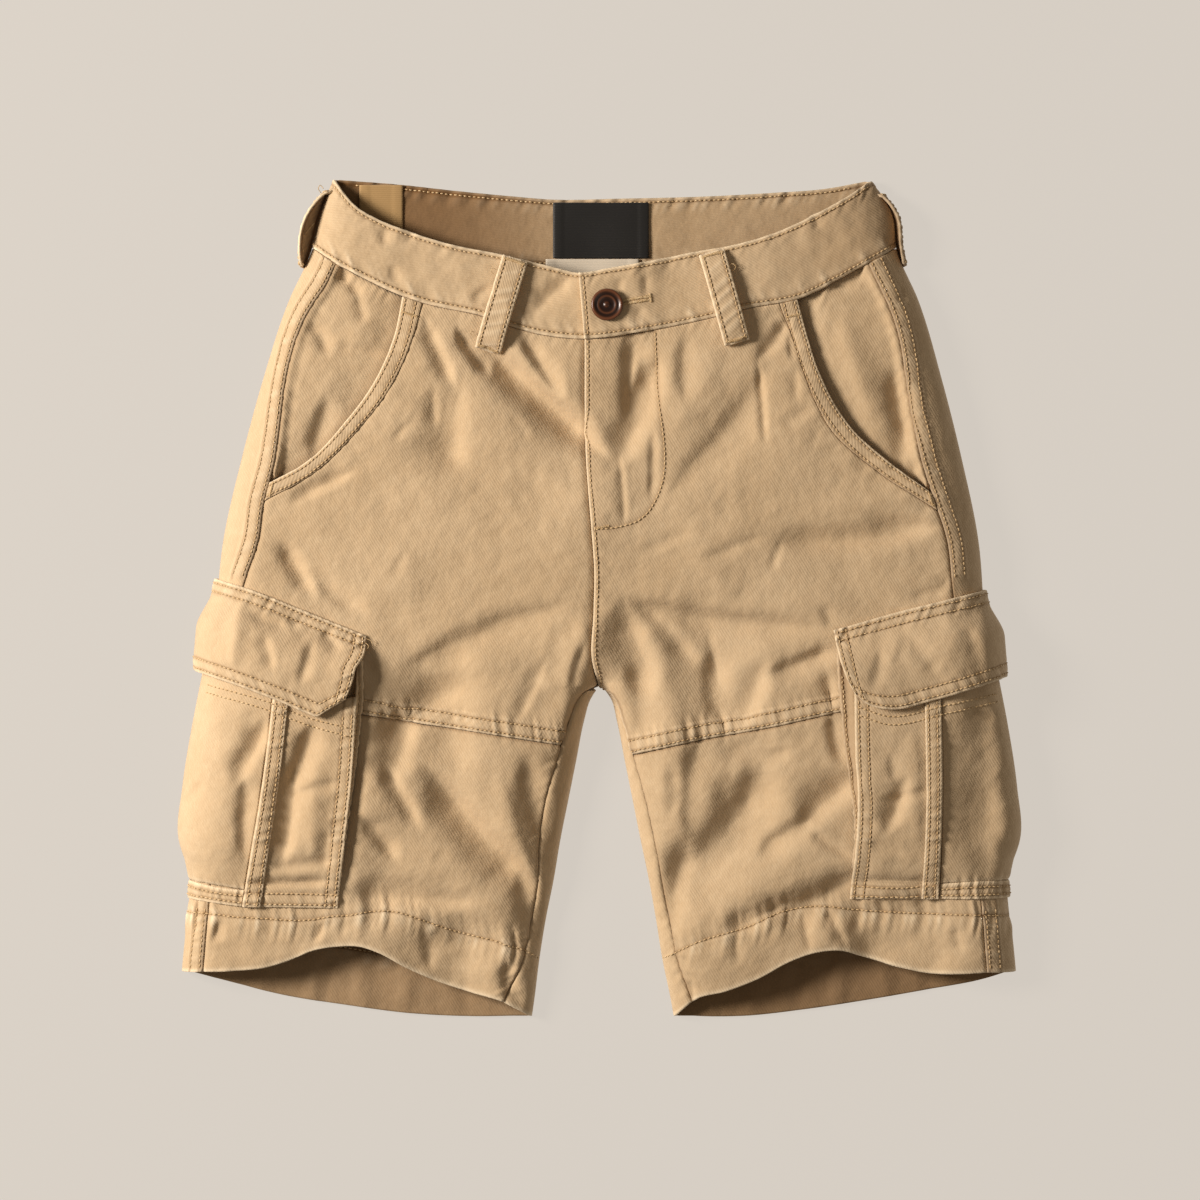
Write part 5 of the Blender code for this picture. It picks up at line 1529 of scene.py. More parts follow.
def from_side(points, side, lift):
    """A line whose first point is moved out to the raised side fold."""
    y = points[0][1]
    return line([(side_edge[side](y) + OUTWARD[side] * lift, y), *points[1:]])


def side_points(y, side, lift):
    """Plan points down the side fold, moved out by lift."""
    return np.column_stack([side_edge[side](y) + OUTWARD[side] * lift, y])


def patch_plan(side, down, along):
    """Plan points of a cargo pocket's patch, from the pleat's edge to the pocket's front edge."""
    lines = POCKET[side]
    mouth, base = line(lines["mouth"][1:]), line(lines["base_foot"][1:])
    return quilt(mouth, base, line(lines["pleat"]), line(lines["edge"]), down, along)


def make_pocket_piece(part, side, points, depth=CLOTH, rows=None, painted_shade=0.0, **kept):
    """A pocket's piece, with rows of stitches named by edge: {edge: (distances)}."""
    away = edges(points)
    # Painted shade over the whole piece is where the shade number starts.
    out, wear, shade = 0.0, 0.0, painted_shade
    for edge, distances in (rows or {}).items():
        run = points[..., 1] if edge in ("start", "end") else points[..., 0]
        reach = max(distances, default=0)
        crests = puckers(run, away[edge], POCKET_WAVES, reach + 6, size=0.24, lean=0.2)
        out = out + crests + rolled_edge(away[edge], 0.5) + sunk_rows(away[edge], distances)
        wear = wear + worn(away[edge], crests, width=reach + 1.5)
        shade = shade + holed(away[edge], distances)
    return make_cloth(f"{side}_cargo_{part}", points, depth, out=out, wear=wear, shade=shade,
                      flip=side == RIGHT, on=(f"{side}_front_lower",), **kept)


# The rows of stitches, from the edges that they run beside.
PATCH_ROWS = {RIGHT: (2.3, 7.9), LEFT: (2.6, 8.5)}
FOOT_ROWS = (1.8, 8.6)
STRIP_ROWS = {"start": 2.3, "end": 2.0}
BASE_ROWS = {"top": 3.6, "foot": 2.4}


def cargo_patch(side):
    """The flat patch of the cargo pocket."""
    down = zones((6, 1.3), (116, 1.8), (8, 1.2))
    lift = POCKET_BASE + patch_stand(down / LOOSE_SHARE)[:, None]
    plan = patch_plan(side, down, zones((12, 1.5), (32, 1.8), (12, 0.95)))
    points = inset(on_front(plan, lift, POCKET_CREASES))
    make_pocket_piece("patch", side, points, rows={"end": PATCH_ROWS[side], "foot": FOOT_ROWS})


def cargo_strip(side):
    """The doubled strip on the patch, along the pleat's edge."""
    down = zones((130, 1.2))
    lift = POCKET_BASE + STRIP_LIFT + patch_stand(down / LOOSE_SHARE)[:, None]
    plan = patch_plan(side, down, 0.01 + (STRIP_SHARE - 0.01) * zones((11, 0.85)))
    points = inset(on_front(plan, lift, POCKET_CREASES))
    rows = {**{edge: (row,) for edge, row in STRIP_ROWS.items()}, "foot": FOOT_ROWS}
    make_pocket_piece("strip", side, points, rows=rows, grain="edges")


def cargo_pleat(side):
    """The full pleat beside the patch, over the side fold and down to the table."""
    lines = POCKET[side]
    down, along = zones((6, 1.3), (116, 1.8), (8, 1.2)), zones((8, 0.8), (40, 1.7), (6, 1.2))
    at_side, at_patch = side_stand(down)[:, None], patch_stand(down)[:, None]
    lift = POCKET_BASE + at_side + (at_patch - at_side) * along[None]
    y = np.linspace(lines["mouth"][0][1], lines["base_top"][0][1], len(down))
    edge = side_points(y, side, lift[:, 0])
    mouth = line([tuple(edge[0]), lines["mouth"][1]])
    base = line([tuple(edge[-1]), lines["base_top"][-1]])
    seam = line([*lines["pleat"][:-1], lines["base_top"][-1]])
    plan = quilt(mouth, base, lambda v: edge, seam, down, along)
    points = inset(over_the_side(plan, lift, side, POCKET_CREASES + PLEAT_CREASES))
    make_pocket_piece("pleat", side, points, rows={"foot": ()})


# The gusset's narrow upper end under the flap: x of both edges, and y.
GUSSET_TIP = {RIGHT: ((-150.0, -146.0), -38.0), LEFT: ((149.5, 145.3), -33.5)}
GUSSET_PAINTED_SHADE = {RIGHT: 0.0, LEFT: 0.35}  # painted shade over the left gusset, whose steep side faces the lamp
GUSSET_ROW = 3.4
GUSSET_COLUMNS = 12


def cargo_gusset(side):
    """The bellows from under the patch's front edge out and down to the leg, folded once."""
    down = zones((130, 1.6))[:-12]
    lift = POCKET_BASE + patch_stand(down / LOOSE_SHARE)[:, None]
    edge = on_front(patch_plan(side, down, np.array([1.0])), lift, POCKET_CREASES)[:, 0]
    spread = POCKET[side]["gusset_spread"] * np.clip(1 - down * 1.25, 0.12, 1)
    high = edge.copy()
    high[:, 2] -= CLOTH + 2 * SEAM_GAP
    high[:, 0] += OUTWARD[side] * CLOTH
    foot_x = edge[:, 0] - OUTWARD[side] * spread
    low = np.column_stack([foot_x, edge[:, 1], front(foot_x, edge[:, 1]) + CLOTH + 3 * SEAM_GAP])
    columns = []
    for share in np.linspace(0, 1, GUSSET_COLUMNS):
        column = high + share * (low - high)
        column[:, 2] += 0.35 * np.sin(3 * np.pi * share) * np.clip(spread / 4, 0.2, 2.2)
        columns.append(column)
    points = np.stack(columns, axis=1)
    (high_x, low_x), top_y = GUSSET_TIP[side]
    tip_x, tip_y = np.linspace(high_x, low_x, GUSSET_COLUMNS), np.full(GUSSET_COLUMNS, top_y)
    tip = np.column_stack([tip_x, tip_y, front(tip_x, tip_y) + CLOTH + 4 * SEAM_GAP])
    climb = zones((20, 1.8))[::-1, None, None][:-1]
    points = np.concatenate([points[:1] + climb * (tip - points[:1]), points])
    rows = {"end": (GUSSET_ROW,)}
    make_pocket_piece("gusset", side, points, rows=rows, painted_shade=GUSSET_PAINTED_SHADE[side])


def cargo_base_band(side):
    """The band that sews the pocket's base to the leg."""
    top, foot = POCKET[side]["base_top"], POCKET[side]["base_foot"][:2]
    edge = side_points(np.linspace(top[0][1], foot[0][1], 11), side, POCKET_BASE)
    end = line([top[-1], foot[-1]])
    top, foot = from_side(top, side, POCKET_BASE), from_side(foot, side, POCKET_BASE)
    down, along = np.linspace(0, 1, 11), zones((10, 0.8), (90, 1.4))
    plan = quilt(top, foot, lambda v: edge, end, down, along)
    lift = np.full(plan.shape[:2], POCKET_BASE)
    points = inset(over_the_side(plan, lift, side, ()))
    rows = {edge: (row,) for edge, row in BASE_ROWS.items()}
    make_pocket_piece("base_band", side, points, rows=rows, grain="edges")


for side in OUTWARD:
    for make in (cargo_patch, cargo_strip, cargo_pleat, cargo_gusset, cargo_base_band):
        make(side)

# %% [markdown]
# ## The flaps
#
# A flap is doubled cloth, sewn to the leg along its top and free below, over the pocket's mouth. It
# has two rows of stitches along its top and along its free edges, and the outer corner is cut off.

# %% Flaps
FLAP_ROWS = {"top": (2.4, 7.8), "foot": (2.2, 8.3), "end": (2.2, 7.8)}
FLAP_FREE = 0.55  # how far down it has come up over the full pocket
FLAP_WORN = {"top": 8.5, "foot": 9.0, "end": 8.5}  # how far in each edge is worn


def cargo_flap(side):
    """The flap over the pocket's mouth."""
    shape = FLAP[side]
    down, along = zones((10, 1.0), (36, 1.5), (10, 1.0)), zones((8, 0.8), (85, 1.6), (12, 1.0))
    sewn = DOUBLED + 2 * SEAM_GAP
    over_patch = POCKET_BASE + STRIP_LIFT + max(POCKET_STAND["patch"]) + 3 * SEAM_GAP + DOUBLED
    over_side = over_patch - STRIP_LIFT
    full = over_side + (over_patch - over_side) * along[None]
    lift = sewn + (full - sewn) * ease(down / FLAP_FREE)[:, None]
    y = np.linspace(shape["top"][0][1], shape["foot"][0][1], len(down))
    edge = side_points(y, side, lift[:, 0])
    top, foot = from_side(shape["top"], side, sewn), from_side(shape["foot"], side, over_side)
    plan = quilt(top, foot, lambda v: edge, line(shape["end"]), down, along)
    points = inset(over_the_side(plan, lift, side, FLAP_CREASES))
    away, x, y = measured(points)
    crests = {
        "top": puckers(x, away["top"], FLAP_WAVES, 15, size=0.32),
        "foot": puckers(x, away["foot"], POCKET_WAVES, 14, size=0.3),
        "end": puckers(y, away["end"], FLAP_WAVES, 14, size=0.26),
    }
    out, wear, shade = 0.0, 0.0, 0.0
    for edge, rows in FLAP_ROWS.items():
        out = out + crests[edge] + rolled_edge(away[edge], 0.4) + sunk_rows(away[edge], rows)
        wear = wear + worn(away[edge], crests[edge], FLAP_WORN[edge])
        shade = shade + holed(away[edge], rows)
    make_cloth(f"{side}_cargo_flap", points, DOUBLED, out=out, wear=wear, shade=shade,
               flip=side == RIGHT, held="folded", on=(f"{side}_front_upper", f"{side}_cargo_patch"))


for side in OUTWARD:
    cargo_flap(side)

# %% [markdown]
# ## The labels
#
# Three bare tapes lie inside the back of the waistband: a black satin one, a tan one near the side,
# and an off-white one that hangs below the black. Woven labels curl a little, and their cut ends are
# folded under, which the relief below shows as a soft ridge.

# %% Labels
LABEL_THICKNESS = 0.7
LABEL_UNDERSIDE = DOUBLED + 0.9
LABEL_STEP, LABEL_ROWS = 1.1, 34
LABEL_CURL = 0.18


def label(name, material, slot):
    """A woven label on the inside of the back."""
    x0, x1, y0, y1 = LABELS[name]
    across = np.linspace(x0, x1, round((x1 - x0) / LABEL_STEP))
    plan = np.dstack(np.meshgrid(across, np.linspace(y1, y0, LABEL_ROWS)))
    curl = wavy_plane(40 + len(name), 60, 22)(plan[..., 0], plan[..., 1])
    height = LABEL_UNDERSIDE + LABEL_THICKNESS + LABEL_CURL * curl
    points = inset(np.dstack([plan, height]), 0.1)
    away = edges(points)
    ends = np.minimum(away["start"], away["end"])
    out = 0.25 * (1 - ease((ends - 5) / 1.5)) + rolled_edge(ends, 0.3)
    wear = 0.25 * bell(ends, 0, 0.8) + 0.2 * bell(np.minimum(away["top"], away["foot"]), 0, 0.8)
    make_cloth(name, points, LABEL_THICKNESS, out=out, wear=wear, flip=True, material=material, slot=slot,
               held="laid", on=("waistband",))


label("main_label", black_satin, "black_tape")
label("size_tape", tan_tape, "tan_tape")
label("care_label", white_tape, "white_tape")

# %% [markdown]
# ## Stitches
#
# A lockstitch shows as a row of short fat dashes with their ends pulled into the cloth. A texture
# could fake them, but real ones catch the light at every angle. Each dash here is a small tube with
# four rings, and arrays build thousands at once. The machine sews about eight to the inch, 3 mm each.

# %% Stitch meshes
STITCH_PITCH = 3.0
STITCH_LENGTH = 2.3
THREAD_RADIUS = 0.42
TUBE_SIDES = 5
PINCH = (0.45, 1.0, 1.0, 0.45)  # how thick the thread is at each of a stitch's four rings
STITCH_RINGS = (-0.5, -0.27, 0.27, 0.5)  # where along the stitch they are
STITCH_HEIGHT = (-0.28, 0.3, 0.3, -0.28)  # and how high over the cloth, in mm
TACK_RINGS = (-0.5, -0.3, 0.3, 0.5)
TACK_HEIGHT = (-0.15, 0.35, 0.35, -0.15)
THREADS = {}
hand = np.random.default_rng(77)  # no two stitches are quite the same length


def sampled(path, at):
    """Points and normals of a path at some lengths from its start."""
    points, normals = path
    walked = lengths_along(points)
    both = [np.column_stack([np.interp(at, walked, v[:, k]) for k in range(3)]) for v in (points, normals)]
    return both[0], unit(both[1])


def length_of(path):
    """The length of a path in mm."""
    return float(np.linalg.norm(np.diff(path[0], axis=0), axis=1).sum())


def add_tubes(group, rings, normals, radius):
    """Short threads, each of four rings (thread, ring, 3), with pinched ends."""
    along = unit(np.gradient(rings, axis=1))
    up = unit(normals - (normals * along).sum(axis=2, keepdims=True) * along)
    sideways = np.cross(along, up)
    angle = np.arange(TUBE_SIDES) * 2 * np.pi / TUBE_SIDES
    thick = np.array(PINCH) * radius
    around = np.cos(angle)[:, None] * sideways[:, :, None] + np.sin(angle)[:, None] * up[:, :, None]
    THREADS.setdefault(group, []).append(rings[:, :, None] + thick[:, None, None] * around)


def sew(group, path, pitch=STITCH_PITCH, length=STITCH_LENGTH, radius=THREAD_RADIUS):
    """A row of stitches along a path."""
    total = length_of(path)
    count = max(1, int(total / pitch))
    middle = (np.arange(count) + 0.5) * total / count
    long = length * (1 + 0.08 * hand.standard_normal(count))
    at = middle[:, None] + np.array(STITCH_RINGS)[None] * long[:, None]
    points, normals = sampled(path, at.ravel())
    points, normals = points.reshape(count, 4, 3), normals.reshape(count, 4, 3)
    height = np.array(STITCH_HEIGHT) * radius / THREAD_RADIUS
    add_tubes(group, points + height[None, :, None] * normals, normals, radius)


def tack(group, path, width=1.9, pitch=0.62, radius=0.34):
    """A bar of close stitches across a path, as at the ends of a belt loop."""
    count = max(2, int(length_of(path) / pitch))
    middle = np.linspace(0, length_of(path), count)
    points, normals = sampled(path, middle)
    sideways = unit(np.cross(normals, np.gradient(points, axis=0)))
    wide = width * (1 + 0.1 * hand.standard_normal(count))
    offsets = np.array(TACK_RINGS)[None] * wide[:, None]
    rings = points[:, None] + offsets[..., None] * sideways[:, None]
    rings = rings + np.array(TACK_HEIGHT)[None, :, None] * normals[:, None]
    add_tubes(group, rings, np.repeat(normals[:, None], 4, axis=1), radius)


print("about", round(25.4 / STITCH_PITCH, 1), "stitches to the inch")

# %% [markdown]
# ## Where the rows run
#
# Most rows keep a fixed distance from an edge, so `beside` reads them straight from a sheet's grid,
# with the puckers in it. The hem and the fly have lines of their own. `dropped` lets those plan points
# fall on the cloth, with a tree of its faces to find where they land.

# %% Finding the rows
def beside(node, edge, distance, first=0.0, last=1.0, face="outer"):
    """The line on a sheet at a distance from one of its edges, between two shares of its length."""
    points, normals = SHEETS[node][face]
    if edge in ("start", "end"):
        points, normals = points.swapaxes(0, 1), normals.swapaxes(0, 1)
    if edge in ("foot", "end"):
        points, normals = points[::-1], normals[::-1]
    walked = np.linalg.norm(np.diff(points, axis=0), axis=2)
    walked = np.pad(np.cumsum(walked, axis=0), ((1, 0), (0, 0)))
    k = np.clip((walked < distance).sum(axis=0), 1, len(points) - 1)
    column = np.arange(points.shape[1])
    t = (distance - walked[k - 1, column]) / (walked[k, column] - walked[k - 1, column])
    found = [v[k - 1, column] + np.clip(t, 0, 1)[:, None] * (v[k, column] - v[k - 1, column])
             for v in (points, normals)]
    total = length_of(found)
    at = np.linspace(first * total, last * total, max(3, int(total)))
    return sampled(found, at)


WELL_ABOVE = 90.0  # mm, higher than any piece


@functools.cache
def tree_of(node):
    """A search tree of one sheet's outer face, made once."""
    points = SHEETS[node]["outer"][0]
    rows, cols = points.shape[:2]
    faces = shell_faces(rows, cols, False)[:(rows - 1) * (cols - 1)]
    return BVHTree.FromPolygons(points.reshape(-1, 3).tolist(), faces.tolist())


def dropped(plan, nodes, step=1.0):
    """A plan line laid on the highest of some sheets."""
    drawn = plan if callable(plan) else line(plan)
    length = np.linalg.norm(np.diff(drawn(np.linspace(0, 1, 50)), axis=0), axis=1).sum()
    points, normals = [], []
    for x, y in drawn(np.linspace(0, 1, max(3, int(length / step)))):
        above = Vector((x, y, WELL_ABOVE))
        hits = [tree_of(node).ray_cast(above, Vector((0, 0, -1))) for node in nodes]
        hits = [h for h in hits if h[0] is not None]
        if hits:
            place, normal = max(hits, key=lambda h: h[0].z)[:2]
            points.append(tuple(place))
            normals.append(tuple(normal if normal.z > 0 else -normal))
    return np.array(points), np.array(normals)


print("the fly's curved row is", round(length_of(dropped(FLY_STITCH, ["left_front_upper"]))), "mm long")

# %% [markdown]
# ## Sewing the shorts together
#
# The rows are listed by piece, and each group of them becomes one joined mesh, so that the object
# stays a short list of pieces.

# %% Every row of stitches
# Shares of a sheet's length, where its rows start and stop at a fold or under another piece.
WAIST_SHARES = {"outer": ((0.0, 0.268), (0.738, 1.0)), "inner": ((0.285, 0.72),)}
SIDE_SEAM_SHARES = ((0.0, 0.455), (0.91, 0.995))
INNER_HEM_SHARES = (0.13, 0.86)
FLY_TACK = ((-3, 43.5), (5, 45))
NARROW_TACK = 1.4
MOUTH_ROWS = {  # on each cargo pocket, just under its flap
    RIGHT: (((-243.3, -52.8), (-203.3, -63.7), (-180, -73), (-154.8, -79.4)),
            ((-244, -57.5), (-204, -68.5), (-180, -77.5), (-155, -84.5))),
    LEFT: (((158.5, -66.5), (176, -72), (212, -65.5), (245, -58.6)),
           ((158.8, -71.5), (176, -77), (212, -70.5), (246, -63.4))),
}


def sew_beside(group, node, edge, rows, first=0.0, last=1.0, face="outer"):
    """Rows of stitches beside one edge of a sheet."""
    for row in rows:
        sew(group, beside(node, edge, row, first, last, face))


for edge, row in zip(("top", "foot"), WAIST_ROWS):
    for face, shares in WAIST_SHARES.items():
        for first, last in shares:
            sew_beside("waistband_stitches", "waistband", edge, (row,), first, last, face)
sew_beside("waistband_stitches", "waistband", "end", (OVERLAP_ROW,), 0.05, 0.95)

for side in OUTWARD:
    group, back_panel = f"{side}_leg_stitches", f"{side}_back"
    for row in (ROW_NEAR, ROW_FAR):
        sew_beside(group, f"{side}_front_upper", "foot", (row,))
        for first, last in SIDE_SEAM_SHARES:
            sew_beside(group, back_panel, "start", (row,), first, last)
    ends = HEM_STITCH[side]["x"]
    hem = line(trace(hem_stitch[side], ends[0], ends[-1]))
    sew(group, dropped(hem, [f"{side}_front_lower", back_panel]))
    sew_beside(group, back_panel, "foot", (INSIDE_ROW,), *INNER_HEM_SHARES, face="inner")

sew("fly_stitches", dropped(FLY_STITCH, ["left_front_upper"]))
sew_beside("fly_stitches", "left_front_upper", "end", (FLY_ROW,), 0.0, 0.83)
tack("fly_stitches", dropped(FLY_TACK, ["left_front_upper"]), width=NARROW_TACK)

for side in OUTWARD:
    group, band = f"{side}_slant_pocket_stitches", f"{side}_slant_band"
    sew_beside(group, band, "start", BAND_ROWS)
    for edge, distance in BAND_TACKS.items():
        tack(group, beside(band, edge, distance, 0.1, 0.9), width=NARROW_TACK)

for side in OUTWARD:
    group = f"{side}_belt_loop_stitches"
    for loop in (f"{side}_front_belt_loop", f"{side}_side_belt_loop"):
        for edge in ("start", "end"):
            sew_beside(group, loop, edge, (LOOP_ROW,), 0.03, 0.97)
        for edge in ("top", "foot"):
            tack(group, beside(loop, edge, LOOP_TACK, 0.1, 0.9))

for side in OUTWARD:
    group, pocket = f"{side}_cargo_pocket_stitches", f"{side}_cargo_"
    sew_beside(group, pocket + "patch", "end", PATCH_ROWS[side], 0.08)
    for edge, row in STRIP_ROWS.items():
        sew_beside(group, pocket + "strip", edge, (row,), 0.02)
    for row in FOOT_ROWS:
        sew_beside(group, pocket + "strip", "foot", (row,), 0.1, 0.9)
        sew_beside(group, pocket + "patch", "foot", (row,), STRIP_SHARE + 0.02)
    sew_beside(group, pocket + "gusset", "end", (GUSSET_ROW,), 0.1, 0.9)
    for edge, row in BASE_ROWS.items():
        sew_beside(group, pocket + "base_band", edge, (row,))
    for plan in MOUTH_ROWS[side]:
        sew(group, dropped(plan, [pocket + part for part in ("patch", "strip", "pleat")]))
    for edge, rows in FLAP_ROWS.items():
        sew_beside(group, pocket + "flap", edge, rows, 0.02, 0.97)
print(len(THREADS), "groups of stitches")

# %% [markdown]
# ## The buttonhole
#
# A buttonhole is a slit edged with stitches so close that they make a cord, with a round eye at the
# button's end. It lies across the waistband, to the wearer's left of the button.

# %% Buttonhole
HOLE_FROM, HOLE_TO = (8.0, 182.2), (31.0, 186.0)
hole_line = dropped((HOLE_FROM, HOLE_TO), ["waistband"], step=0.5)
for shift in (-1.05, 1.05):
    points, normals = hole_line
    sideways = np.cross(normals, unit(np.gradient(points, axis=0)))
    tack("buttonhole_stitches", (points + shift * sideways, normals), width=1.8, pitch=0.5, radius=0.3)
eye_end = dropped(((31.2, 183.6), (30.6, 188.4)), ["waistband"], step=0.5)
tack("buttonhole_stitches", eye_end, width=1.8, pitch=0.5)
print("the buttonhole is", round(length_of(hole_line)), "mm long")

# %% [markdown]
# ## Loose ends
#
# Real shorts have thread ends that nobody trimmed, most of them at the belt loops. Each is a thin tube
# through a few given points, and it starts at the cloth.

# %% Loose threads
LOOSE_ENDS = (
    # plan points and heights over the cloth below, in mm
    ((-177.5, 233.5, 6), (-181, 229, 8), (-184.5, 224, 8), (-185, 219, 7), (-184.2, 215, 6)),
    ((-173.5, 252, 7), (-175, 254.5, 8.5), (-173.6, 256.5, 9), (-171.8, 254.5, 8)),
    ((-64.5, 203.5, 3.4), (-66.5, 204.2, 4.2), (-67.6, 202.4, 4.2), (-66.2, 200.8, 3.2)),
    ((-78.5, 162.5, 2.6), (-80.3, 163.9, 3.4), (-79.6, 165.4, 3.6), (-77.8, 164.6, 2.8)),
    ((79, 206, 3.4), (81.5, 207, 4.3), (83.4, 205.4, 4.4), (82.4, 203, 3.4), (80.6, 203.4, 3.0)),
    ((-144.5, -27, 3.4), (-142.8, -29, 3.8), (-143.6, -31.5, 3.6), (-142.4, -34, 2.6)),
    ((-144, -24.5, 3.4), (-141.6, -25.6, 3.2), (-140.6, -27.8, 2.2)),
)


def loose_end(points):
    """Rings along one thread end, as a chain of short tubes."""
    points = np.array(points, float)
    points[:, 2] += front(points[:, 0], points[:, 1])
    at = np.arange(len(points))
    wanted = np.linspace(0, len(points) - 1, 25)
    drawn = np.column_stack([smooth(at, points[:, k])(wanted) for k in range(3)])
    rings = np.stack([drawn[3 * k:3 * k + 4] for k in range(8)])
    add_tubes("loose_threads", rings, np.broadcast_to([0.0, 0.0, 1.0], rings.shape), 0.3)


for points in LOOSE_ENDS:
    loose_end(points)
print(len(LOOSE_ENDS), "loose ends")

# %% [markdown]
# ## Joining the threads
#
# The tubes of a group are stacked in one array, so their faces can be numbered with arithmetic: four
# rings of five corners, with two end caps.

# %% Thread meshes
def thread_mesh(group):
    """One mesh of all the threads of a group."""
    tubes = np.concatenate(THREADS[group])
    count, rings, sides = tubes.shape[:3]
    number = np.arange(count * rings * sides).reshape(count, rings, sides)
    ahead = np.roll(number, -1, axis=2)
    walls = np.stack([number[:, :-1], ahead[:, :-1], ahead[:, 1:], number[:, 1:]], axis=3).reshape(-1, 4)
    caps = np.concatenate([number[:, 0, ::-1], number[:, -1]])
    piece = new_piece(group, tubes.reshape(-1, 3), walls.tolist() + caps.tolist(), thread)
    print(f"{group}: {count} threads")


for group in THREADS:
    thread_mesh(group)

# %% [markdown]
# ## The waist button
#
# The button is turned: one profile, spun round its axis. It has a raised rim, a sunk ring and a stud
# in the middle. The number `wear` marks the rim, where the dark colour has rubbed down to copper.

# %% Waist button
BUTTON_PROFILE = (
    # radius, height, wear
    (0.0, 2.35, 0.25), (0.9, 2.3, 0.3), (1.5, 2.05, 0.6), (1.9, 1.55, 0.15), (2.4, 1.35, 0.0),
    (3.6, 1.3, 0.0), (4.5, 1.45, 0.1), (5.1, 1.85, 0.75), (5.7, 1.95, 0.5), (6.2, 1.6, 0.05),
    (6.8, 1.55, 0.0), (7.6, 1.95, 0.2), (8.3, 2.45, 0.85), (8.9, 2.6, 1.0), (9.5, 2.3, 0.9),
    (9.95, 1.7, 0.5), (9.9, 1.1, 0.2), (9.3, 0.6, 0.1), (0.0, 0.5, 0.0),
)
BUTTON_SIDES = 72
BUTTON_SUNK = 0.2  # how far it presses into the cloth


def waist_button():
    """A turned button lying on the waistband, tilted as the cloth is."""
    x, y = BUTTON_AT
    reach = 6.0
    here = dropped(((x - reach, y), (x + reach, y)), ["waistband"])
    up = np.array([0.0, 0.0, 1.0]) + here[1].mean(axis=0)
    up /= np.linalg.norm(up)
    base = np.array([x, y, here[0][:, 2].max() - BUTTON_SUNK])
    side_way = np.cross([0.0, 1.0, 0.0], up)
    side_way /= np.linalg.norm(side_way)
    far_way = np.cross(up, side_way)
    angle = np.arange(BUTTON_SIDES) * 2 * np.pi / BUTTON_SIDES
    rings, wear = [], []
    for radius, height, share in BUTTON_PROFILE[1:-1]:
        round_it = radius * (np.cos(angle)[:, None] * side_way + np.sin(angle)[:, None] * far_way)
        rings.append(base + height * up + round_it)
        wear.append(np.full(BUTTON_SIDES, share))
    tips = [base + BUTTON_PROFILE[0][1] * up, base + BUTTON_PROFILE[-1][1] * up]
    vertices = np.concatenate([*rings, np.array(tips)])
    number = np.arange(len(rings) * BUTTON_SIDES).reshape(len(rings), BUTTON_SIDES)
    ahead = np.roll(number, -1, axis=1)
    faces = np.stack([number[1:], ahead[1:], ahead[:-1], number[:-1]], axis=2).reshape(-1, 4).tolist()
    top_tip, low_tip = len(vertices) - 2, len(vertices) - 1
    faces += [[top_tip, a, b] for a, b in zip(number[0].tolist(), ahead[0].tolist())]
    faces += [[low_tip, b, a] for a, b in zip(number[-1].tolist(), ahead[-1].tolist())]
    wear = np.concatenate([*wear, [BUTTON_PROFILE[0][2], BUTTON_PROFILE[-1][2]]])
    piece = new_piece("waist_button_turned", vertices, faces, horn, {"wear": wear})
    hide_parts("waist_button")
    print("the button stands at", [round(float(v), 1) for v in base], "mm")


waist_button()

# %% [markdown]
# ## The table, the light and the camera
#
# The shorts lie on a plain pale sheet. A large lamp at the wearer's right gives soft shadows in the
# creases, as a softbox does, and a weaker one fills them from the other side. The sheet glows a little,
# so that it stays even. The camera hangs straight above with a long lens, so there is hardly any
# perspective.

# %% Stage, lights and camera
FRAME_WIDTH = 744.0 * MM  # what the camera takes in from side to side, at the height of the cloth
FRAME_CENTRE = (-0.3 * MM, -0.6 * MM)
CAMERA_HEIGHT = 2.6
CLOTH_HEIGHT = 0.012
FLOOR_SIZE = 6.0
FLOOR_DROP = 0.0004  # keeps the cloth's lowest points clear of the floor

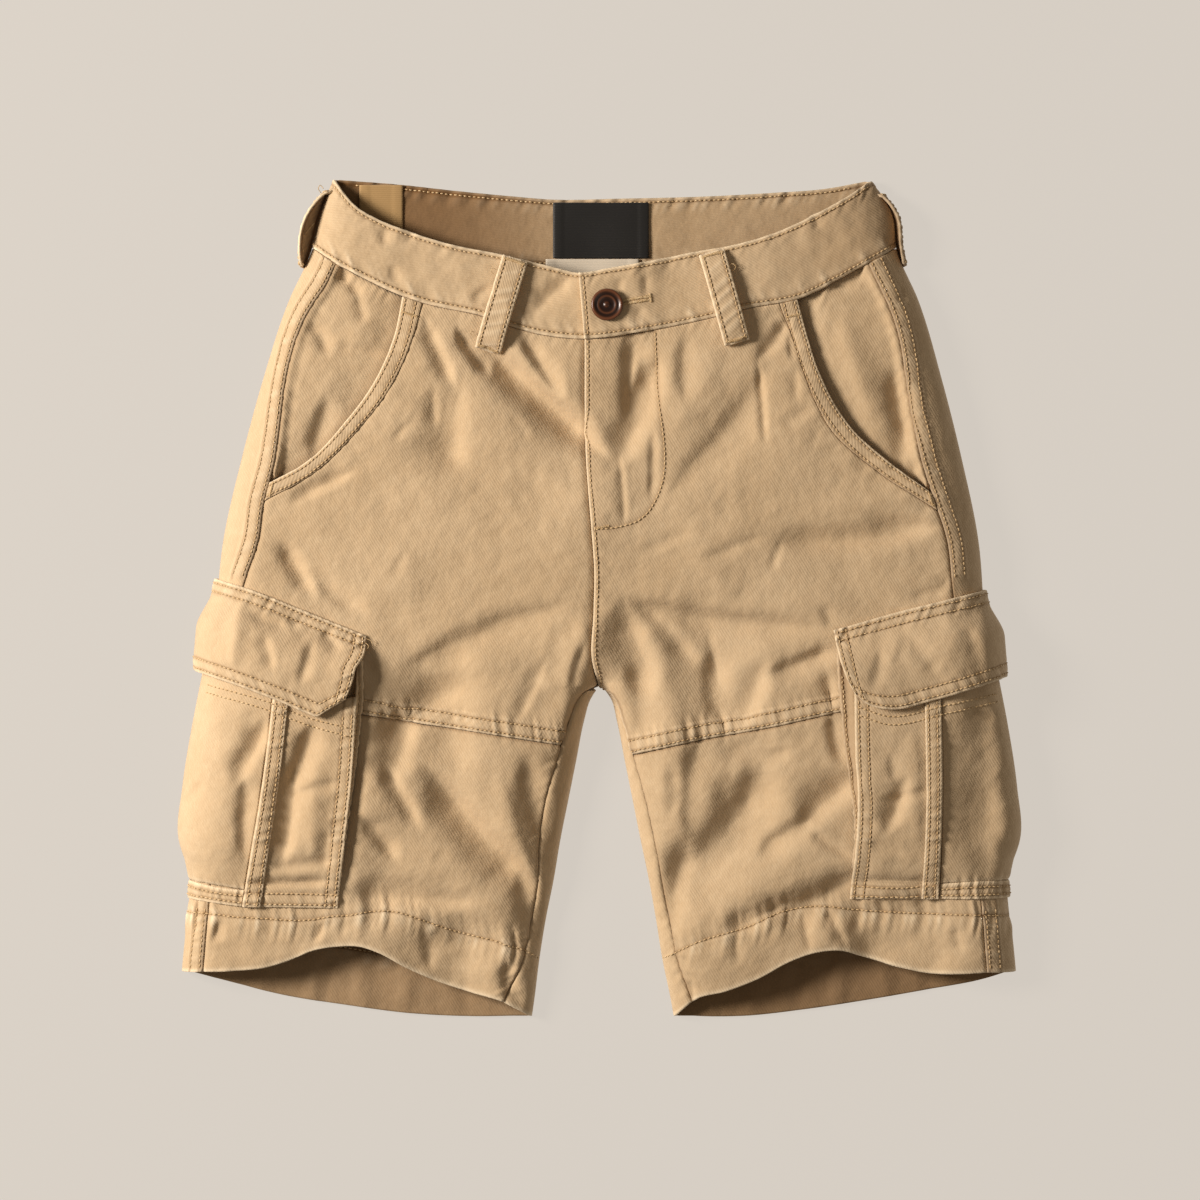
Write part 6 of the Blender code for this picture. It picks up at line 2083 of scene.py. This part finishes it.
floor_material, floor_tree, floor_shader = new_material("pale_paper", 0.95)
floor_shader.inputs["Base Color"].default_value = colour("#3B3936")
glow = add(floor_tree, "ShaderNodeEmission", {"Color": colour("#D9D1C7"), "Strength": 0.91})
floor_output = floor_tree.nodes["Material Output"]
both = add(floor_tree, "ShaderNodeAddShader", {0: floor_shader.outputs[0], 1: glow.outputs[0]})
floor_tree.links.new(both.outputs[0], floor_output.inputs["Surface"])
floor_mesh = bpy.data.meshes.new("floor")
half, low = FLOOR_SIZE / 2, -FLOOR_DROP
corners = [(-half, -half, low), (half, -half, low), (half, half, low), (-half, half, low)]
floor_mesh.from_pydata(corners, [], [(0, 1, 2, 3)])
floor_mesh.materials.append(floor_material)
floor = put("floor", floor_mesh)


def softbox(name, place, size, power, tint):
    """A square lamp that faces the middle of the table."""
    lamp = bpy.data.lights.new(name, "AREA")
    lamp.size = size
    lamp.energy = power
    lamp.color = colour(tint)[:3]
    box = put(name, lamp)
    box.location = place
    box.rotation_mode = "QUATERNION"
    box.rotation_quaternion = (-Vector(place)).to_track_quat("-Z", "Y")


softbox("key", (-1.75, 0.47, 1.17), 0.62, 67.5, "#FFF4E8")
softbox("fill", (1.6, -0.6, 1.8), 1.6, 3.2, "#FFF6EA")
world = bpy.data.worlds.new("studio")
world.use_nodes = True
world.node_tree.nodes["Background"].inputs["Color"].default_value = colour("#F3E1CB")
world.node_tree.nodes["Background"].inputs["Strength"].default_value = 0.165
bpy.context.scene.world = world
bpy.context.scene.view_settings.view_transform = "Standard"

lens = bpy.data.cameras.new("camera")
lens.sensor_width = 36.0
lens.lens = lens.sensor_width * (CAMERA_HEIGHT - CLOTH_HEIGHT) / FRAME_WIDTH
lens.clip_end = 20.0
camera = put("camera", lens)
camera.location = (*FRAME_CENTRE, CAMERA_HEIGHT)
bpy.context.scene.camera = camera
print("lens", round(lens.lens), "mm")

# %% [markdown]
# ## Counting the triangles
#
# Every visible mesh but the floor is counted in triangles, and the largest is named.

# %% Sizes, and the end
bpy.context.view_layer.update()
triangles = {o.name: sum(len(p.vertices) - 2 for p in o.data.polygons)
             for o in bpy.data.objects if o.type == "MESH" and not o.hide_render and o != floor}
print("triangles:", sum(triangles.values()), "largest:", max(triangles.items(), key=lambda t: t[1]))
